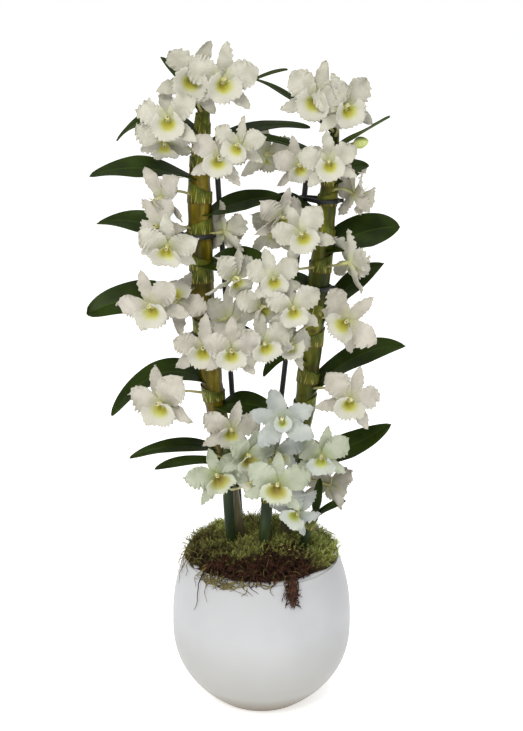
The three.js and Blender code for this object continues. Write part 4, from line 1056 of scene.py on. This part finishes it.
# ------------------------------------------------------------------ blooms
# Each bloom: stem, height of its stalk's root, throat, yaw, pitch, roll, size, tint.
# Each tepal of TEPALS has the angle at which it stands, from the bloom's right.
BLOOMS = [
    ("cane_left", 512, (-54, -36, 536), 6, 6, 24, 1.03, "white"),
    ("cane_left", 518, (-30, -44, 534), 16, 8, 8, 1.0, "white"),
    ("cane_left", 494, (-70, -50, 507), -2, 2, -3, 0.95, "white"),
    ("cane_left", 478, (-75, -24, 489), 0, -42, 0, 0.86, "white"),
    ("cane_left", 466, (-33, -48, 478), 0, -2, 10, 0.87, "rosy"),
    ("cane_left", 476, (-17, -60, 489), -24, 0, 8, 0.78, "white"),
    ("cane_right", 470, (4, 26, 472), 168, 0, 0, 0.9, "white"),
    ("cane_right", 462, (30, -22, 470), 8, -12, -12, 0.78, "rosy"),
    ("cane_left", 444, (-77, -22, 443), -52, -16, -10, 0.95, "rosy"),
    ("cane_left", 418, (-78, -36, 423), -32, 10, -38, 0.86, "rosy"),
    ("cane_left", 406, (-73, -56, 412), -4, -22, 10, 0.95, "white"),
    ("cane_left", 373, (-70, -30, 369), 12, 36, 172, 0.95, "rosy"),
    ("cane_left", 350, (-84, -52, 363), -14, -4, -24, 1.0, "rosy"),
    ("cane_left", 326, (-46, -42, 326), -4, 0, -2, 0.94, "rosy"),
    ("cane_left", 336, (-24, -60, 329), 4, 0, 4, 0.9, "rosy"),
    ("cane_right", 342, (3, -56, 334), 8, 0, -14, 0.88, "white"),
    ("cane_right", 340, (21, -40, 329), 26, 24, 30, 0.8, "white"),
    ("cane_right", 356, (25, -56, 363), 4, -6, -4, 0.86, "white"),
    ("cane_right", 360, (0, -40, 360), 35, 0, 0, 0.8, "white"),
    ("cane_right", 388, (10, -54, 386), 0, 2, -8, 0.82, "white"),
    ("cane_right", 422, (33, -50, 420), -2, 2, -24, 0.88, "white"),
    ("cane_right", 430, (14, -28, 429), 26, -6, 8, 0.86, "rosy"),
    ("cane_right", 410, (8, 24, 408), 162, 4, 0, 0.86, "white"),
    ("cane_left", 414, (-30, -6, 414), 140, 10, 0, 0.86, "white"),
    ("cane_left", 388, (-22, -38, 383), 40, -10, 0, 0.86, "white"),
    ("cane_left", 342, (-27, -20, 346), 165, 0, 0, 0.9, "white"),
    ("cane_right", 496, (41, -30, 520), -12, 6, 14, 1.0, "white"),
    ("cane_right", 494, (65, -36, 515), 14, 4, -12, 0.94, "white"),
    ("cane_right", 466, (52, -50, 475), -2, 4, -8, 0.84, "white"),
    ("cane_right", 448, (73, -22, 447), 116, -4, 10, 0.95, "rosy"),
    ("cane_right", 388, (70, -20, 392), 120, 12, -20, 0.95, "white"),
    ("cane_right", 346, (66, -36, 348), -22, 0, 47, 0.98, "rosy"),
    ("cane_right", 282, (70, -42, 283), 6, 2, 20, 0.96, "rosy"),
    ("cane_short_right", 246, (17, -64, 272), 0, 22, -8, 0.93, "star"),
    ("cane_right", 238, (49, -46, 236), -6, -8, 0, 0.9, "mint"),
    ("cane_short_right", 206, (12, -74, 222), -2, 4, 10, 0.95, "green"),
    ("cane_short_right", 184, (27, -52, 191), -10, -5, 50, 0.82, "blue"),
    ("cane_left", 256, (-25, -44, 258), 4, 0, 10, 0.88, "rosy"),
    ("cane_short_left", 212, (-35, -54, 223), 12, -2, -22, 0.92, "green"),
    ("cane_short_left", 238, (-13, -60, 243), 30, -10, 14, 0.8, "green"),
    ("cane_short_right", 232, (11, -48, 241), 10, -6, 0, 0.84, "dusk"),
    ("cane_left", 278, (-79, -46, 281), -20, -4, -20, 1.08, "rosy"),
    ("cane_right", 200, (58, -8, 196), 140, -6, 0, 0.85, "rosy"),
    ("cane_short_left", 196, (-5, -48, 216), -50, -10, 0, 0.75, "white"),
]
TEPALS = [(90, "sepal"), (27, "petal"), (-38, "sepal"), (-142, "sepal"), (153, "petal")]
# Half a tepal's width at each distance from the bloom's middle.
EDGES = {"sepal": [(1.2, 2.4), (5, 4.3), (9, 5.6), (14, 6.3), (18.5, 6.0), (23, 4.3), (26.5, 2.2),
                   (28.5, 0)],
         "petal": [(1.2, 2.6), (4.5, 5.2), (8, 8.2), (12, 10.5), (16.5, 11.4), (20.5, 10.1),
                   (24, 7.0), (26.4, 3.4), (27.8, 0)]}
TEPAL_SHAPES, LIP_SHAPES = 7, 4
STAR = {"tepal": 1.5, "lip": 0.66}  # the star bloom's broad sepals, and its small lip
LIP_SIZE = 1.1
HUB_ABOVE_THROAT = 4
LIP_DROOP = math.radians(22)
DISC = {"height": -3.5, "across": 5.6, "tall": 5.0}
# The lip's trumpet from its root to its rim: share, distance along its axis, radius.
LIP_LINE = [(0, 0.8, 2.1), (0.15, 2.8, 3.1), (0.3, 4.9, 4.2), (0.45, 7.0, 5.8), (0.6, 8.9, 7.9),
            (0.75, 10.3, 10.1), (0.9, 11.2, 11.9), (1.0, 11.3, 12.9)]


def make_tepal(kind, variant):
    """A petal or sepal that points along +Y from the bloom's middle and looks along +Z. Each
    variant has its own torn edge, ruffle, lengthwise fold and curl at its tip."""
    edge, petal = EDGES[kind], kind == "petal"
    rng = random.Random(f"{kind}{variant}")
    seed, wander = rng.randrange(1000), rng.uniform(0, 6)
    fold = rng.uniform(0.1, 0.6) if petal else rng.uniform(0.2, 0.8) * rng.choice((1, 1, -1))
    curl = rng.uniform(-6, 2) if petal else rng.uniform(-5, 3)
    ruffle, notch, scallop_length = (2.8, 2.4, 3.7) if petal else (1.3, 1.3, 4.6)

    def place(u, v):
        v = 1 - (1 - v) ** 1.25
        reach = edge[0][0] + (edge[-1][0] - edge[0][0]) * v
        side, far = np.where(u < 0, 40.5, 0.0), fade(0.12, 0.5, v)
        scallop = frill(side + reach / scallop_length, seed)
        uneven = 0.3 * far * (jagged(side + reach / 6.5, seed + 1) - 0.4)
        half = curve_through(edge, reach) * (1 + uneven)
        half = (half - notch * far * (1 - scallop)).clip(0)
        deeper = 0.4 + 1.6 * jagged(side + reach / 5, seed + 2)
        wave = ruffle * np.abs(u) ** 2.8 * far * (scallop - 0.55) * deeper
        wave = wave + 3.0 * np.abs(u) ** 2 * far * (jagged(side + reach / 8, seed + 3) - 0.5)
        bow = half * (1 - np.cos(fold * u)) / fold
        if petal:
            channel = 0.9 * np.exp(-(u / 0.12) ** 2) * (1 - v) * v
            forward = 2.2 * np.sin(np.pi * v**0.8) + curl * v**3 - channel
            forward = forward + 1.3 * u * np.sin(4 * v + wander) * far
        else:
            forward = -0.6 - 2.4 * v**1.5 + curl * v**3 + 0.7 * np.sin(5 * v + wander) * far
        x, y = half * np.sin(fold * u) / fold, reach + 0.4 * np.abs(u) * far
        return np.c_[x, y, forward + wave + bow]

    across, along = (12, 40) if petal else (8, 32)
    tepal = shaped_sheet(kind, across, along, place)
    in_edit(tepal, weld)
    apply_modifier(tepal, "SOLIDIFY", thickness=THICK["tepal"] * MM, offset=0)
    return tepal


def make_lip(variant):
    """The lip: a trumpet open above, folded round the column, with a broad ruffled rim."""
    rng = random.Random(f"lip{variant}")
    first, seed = rng.uniform(0, 6), rng.randrange(1000)
    axis = np.array([0, -math.sin(LIP_DROOP), math.cos(LIP_DROOP)])
    down = np.array([0, -math.cos(LIP_DROOP), -math.sin(LIP_DROOP)])
    distance, radius = ([(s, row[k]) for s, *row in LIP_LINE] for k in (0, 1))

    def place(u, v):
        turn = np.radians(125 + 27 * v) * u
        rim = v**4
        out = np.cos(turn)[:, None] * down + np.sin(turn)[:, None] * np.array([1.0, 0, 0])
        scallop = frill(60 + 3.8 * turn, seed)
        spread = curve_through(radius, v) * (1 + 0.05 * v * np.cos(turn))
        spread = spread - 2.0 * rim * (1 - scallop)
        deeper = 0.4 + 1.2 * jagged(60 + 2.5 * turn, seed + 1)
        ahead = curve_through(distance, v) + 1.0 * v**3 * np.sin(5 * turn + first)
        ahead = ahead + 2.1 * rim * (scallop - 0.6) * deeper
        ahead = ahead - 1.6 * rim * fade(0.4, 1, np.cos(turn))
        return ahead[:, None] * axis + spread[:, None] * out

    lip = shaped_sheet("lip", 52, 14, place)
    apply_modifier(lip, "SOLIDIFY", thickness=THICK["lip"] * MM, offset=0)
    x, y, _ = corners(lip).T / MM
    mark(lip, "disc", 0.6 * np.hypot(x / DISC["across"], (y - DISC["height"]) / DISC["tall"]))
    return lip


def make_column():
    """The column above the throat with its anther cap, and the small hub that carries it all."""
    stem = fresh("column", bpy.ops.mesh.primitive_cylinder_add, vertices=12, radius=1.5 * MM,
                 depth=7.0 * MM, location=(0, 1.3 * MM, 4.4 * MM),
                 rotation=(math.radians(-9), 0, 0))
    rows = corners(stem)
    rows[:, :2] *= 1.12 - 22 * rows[:, 2:].clip(0)  # narrower towards its top
    set_corners(stem, rows)
    apply_modifier(stem, "BEVEL", width=0.6 * MM, segments=3, limit_method="ANGLE")
    cap = fresh("cap", bpy.ops.mesh.primitive_uv_sphere_add, segments=12, ring_count=8,
                radius=1.15 * MM, location=(0, 1.8 * MM, 7.6 * MM))
    rows, seat = corners(cap), 1.5 * MM
    rows[:, 1] = np.where(rows[:, 1] < seat, seat + 0.5 * (rows[:, 1] - seat), rows[:, 1])
    set_corners(cap, rows)
    hub = fresh("hub", bpy.ops.mesh.primitive_uv_sphere_add, segments=16, ring_count=10, radius=1)
    rows = corners(hub) * np.array([3.0, 3.0, 1.8])
    rows[:, 1] -= 1.6 * fade(0, -1.8, rows[:, 2])
    set_corners(hub, rows * MM)
    return [dressed(stem, COLUMN_WAX), dressed(cap, ANTHER_CAP), dressed(hub, STALK_SKIN)]


MODELS = {kind: [make_tepal(kind, variant) for variant in range(TEPAL_SHAPES)]
          for kind in ("petal", "sepal")}
MODELS["lip"] = [make_lip(variant) for variant in range(LIP_SHAPES)]
COLUMN = make_column()


def copy_of(model, *finishes):
    """A copy of a model with its own mesh."""
    piece = linked(model.name, model.data.copy())
    return dressed(piece, *finishes) if finishes else piece


def turn_about(axis, degrees):
    return np.array(Matrix.Rotation(math.radians(degrees), 3, axis))


def bloom_matrix(throat, yaw, pitch, roll, size):
    """A bloom's axes as columns, and where its middle is."""
    y, p, r = (math.radians(a) for a in (yaw, pitch, roll))
    front = np.array([math.sin(y) * math.cos(p), -math.cos(y) * math.cos(p), math.sin(p)])
    upright = np.array([-math.sin(y) * math.sin(p), math.cos(y) * math.sin(p), math.cos(p)])
    level = np.cross(upright, front)
    up = upright * math.cos(r) + level * math.sin(r)
    right = level * math.cos(r) - upright * math.sin(r)
    return np.array([right, up, front]).T, np.array(throat, float) + up * HUB_ABOVE_THROAT * size


def make_stalk(stem, z, axes, middle, size):
    """The stalk from the cane to the hub: thin, a little thicker at its root, and swollen into
    the ovary behind the bloom."""
    root = stem_at(STEMS[stem], z)[0]
    out = middle - root
    far = np.linalg.norm(out)
    out = unit(out * [1, 1, 0])
    rise = UP * (4 * math.sin(1.7 * z) + 2) * min(1.0, far / 30)
    path = [root, root + out * 0.4 * far + rise, middle - axes[:, 2] * 0.45 * far + rise, middle]
    shares = np.linspace(0, 0.985, 13)  # it ends just inside the hub
    radii = curve_through([(0, 1.35), (0.3, 1.1), (0.65, 1.1), (0.86, 1.5), (1, 1.7)], shares)
    line = list(zip(bezier(path, shares), radii * (0.85 + 0.15 * size)))
    return dressed(strands("stalk", [line], sides=2), STALK_SKIN)


def make_bloom(name, stem, z, throat, yaw, pitch, roll, size, tint):
    """A bloom: five tepals and a lip picked from the models, each turned, stretched or mirrored
    its own way, the column, and the stalk that carries them."""
    rng = random.Random(name)
    tepal_skin, lip_finish = TINTS[tint]
    axes, middle = bloom_matrix(throat, yaw, pitch, roll, size)
    starry = tint == "star"
    parts = []
    for angle, kind in TEPALS:
        tepal = copy_of(rng.choice(MODELS["sepal" if starry else kind]), tepal_skin)
        turned = (turn_about("Z", angle - 90 + rng.gauss(0, 6)) @ turn_about("X", rng.gauss(0, 10))
                  @ turn_about("Y", rng.gauss(0, 10)))
        broad = STAR["tepal"] if starry else 1.0
        if rng.random() < 0.5:
            broad = -broad
            tepal.data.flip_normals()
        set_corners(tepal, corners(tepal) * [broad, 1, 1] * rng.uniform(0.99, 1.07) @ turned.T)
        parts.append(tepal)
    lip = copy_of(rng.choice(MODELS["lip"]), lip_finish)
    set_corners(lip, corners(lip) * (STAR["lip"] if starry else LIP_SIZE))
    parts.append(lip)
    parts += [copy_of(model) for model in COLUMN]
    for part in parts:
        rows = corners(part) / MM
        reach = np.hypot(rows[:, 0], rows[:, 1])
        rows[:, 2] += 2.2 * fade(6, 24, reach) * roughed(rows, 0.1, rng.uniform(0, 90))
        set_corners(part, (rows * size @ axes.T + middle) * MM)
    parts.append(make_stalk(stem, z, axes, middle, size))
    return kept(joined(name + "_flower", parts), "petal", name)


for number, row in enumerate(BLOOMS, 1):
    make_bloom(f"bloom_{number:02d}", *row)
for group in (*MODELS.values(), COLUMN):
    for model in group:
        bpy.data.objects.remove(model)


# ------------------------------------------------------------------ buds
BUDS = {"stem": "cane_right", "height": 484, "tip": (73, -17, 489), "length": 14, "radius": 5}


def make_buds():
    """Two closed buds on one stalk, each an egg drawn out to a blunt point."""
    root, tip = stem_at(STEMS[BUDS["stem"]], BUDS["height"])[0], np.array(BUDS["tip"], float)
    along = unit(tip - root)
    lower = np.array(Matrix.Rotation(1.1, 3, "Y")) @ along
    stalk = [(root, 1.2), ((root + tip) / 2, 1.1), (tip + along * 2, 1.5)]
    parts = [dressed(strands("stalk", [stalk], 2), STALK_SKIN)]
    for start, way, scale in ((tip, along, 1.0), (tip - along * 5, lower, 0.7)):
        bud = fresh("bud", bpy.ops.mesh.primitive_uv_sphere_add, segments=24, ring_count=16,
                    radius=1)
        x, y, z = corners(bud).T
        share = (z + 1) / 2
        ridges = 1 + 0.05 * np.cos(3 * np.arctan2(y, x))
        thick = BUDS["radius"] * scale * (1.08 - 0.55 * share**1.6) * ridges
        side = unit(np.cross(way, UP))
        across = np.cross(way, side)
        spots = (start + (BUDS["length"] * scale * share)[:, None] * way
                 + (thick * x)[:, None] * side + (thick * y)[:, None] * across)
        set_corners(bud, spots * MM)
        in_edit(bud, face_out)
        parts.append(dressed(bud, BUD_SKIN))
    return kept(joined("buds_right_pair", parts), "bud", "buds_right")


make_buds()


# ------------------------------------------------------------------ floor, light and camera
SENSOR = 36  # millimetres, as high as the frame
FRAME_HEIGHT, FOCAL_LENGTH = 731, 1241  # pixels
CAMERA_AT, CAMERA_TILT = (0, -1.0, 0.59), 74
LIGHTS = [("key_softbox", (-0.5, -1.6, 1.7), 0.8, 28, "#fffdf6"),
          ("top_softbox", (0.1, 0.2, 2.2), 1.8, 9, "#ffffff")]
LIT = Vector((0, 0, 0.3))  # where the lights point


def make_floor():
    """Matt white studio paper that glows a little, so that shadows on it stay faint."""
    paper, _ = finish("white_studio_paper", Base_Color=colour("#ffffff"), Roughness=0.9,
                      Emission_Color=colour("#ffffff"), Emission_Strength=0.6)
    floor = fresh("studio_floor", bpy.ops.mesh.primitive_plane_add, size=30, location=(0, 8, 0))
    dressed(floor, paper)


def make_light(name, place, size, power, tint):
    """A round softbox that points at the middle of the plant."""
    data = bpy.data.lights.new(name, "AREA")
    data.shape, data.size, data.energy, data.color = "DISK", size, power, colour(tint)[:3]
    lamp = linked(name, data)
    lamp.location = place
    lamp.rotation_euler = (LIT - Vector(place)).to_track_quat("-Z", "Y").to_euler()


def make_sky():
    """A plain white sky, brightest at the horizon and about half as bright overhead."""
    world = bpy.data.worlds.new("studio")
    bpy.context.scene.world = world
    world.use_nodes = True
    tree, sky = world.node_tree, world.node_tree.nodes["Background"]
    way = put(tree, "TexCoord").outputs["Generated"]
    height = put(tree, "SeparateXYZ", feeds={"Vector": way})
    dome = put(tree, "MapRange", {"From Min": 0.02, "From Max": 0.3, "To Min": 1.0,
                                  "To Max": 0.52}, {"Value": height.outputs["Z"]})
    lead(tree, dome, sky.inputs["Strength"])
    sky.inputs["Color"].default_value = colour("#ffffff")


def make_camera():
    """A camera in front of the plant and above its blooms, tilted a little down."""
    data = bpy.data.cameras.new("camera")
    data.sensor_fit = "VERTICAL"
    data.sensor_height = SENSOR
    data.lens = SENSOR * FOCAL_LENGTH / FRAME_HEIGHT
    camera = linked("camera", data)
    camera.location = CAMERA_AT
    camera.rotation_euler = (math.radians(CAMERA_TILT), 0, 0)
    bpy.context.scene.camera = camera


make_floor()
for row in LIGHTS:
    make_light(*row)
make_sky()
make_camera()
bpy.context.scene.view_settings.view_transform = "Standard"
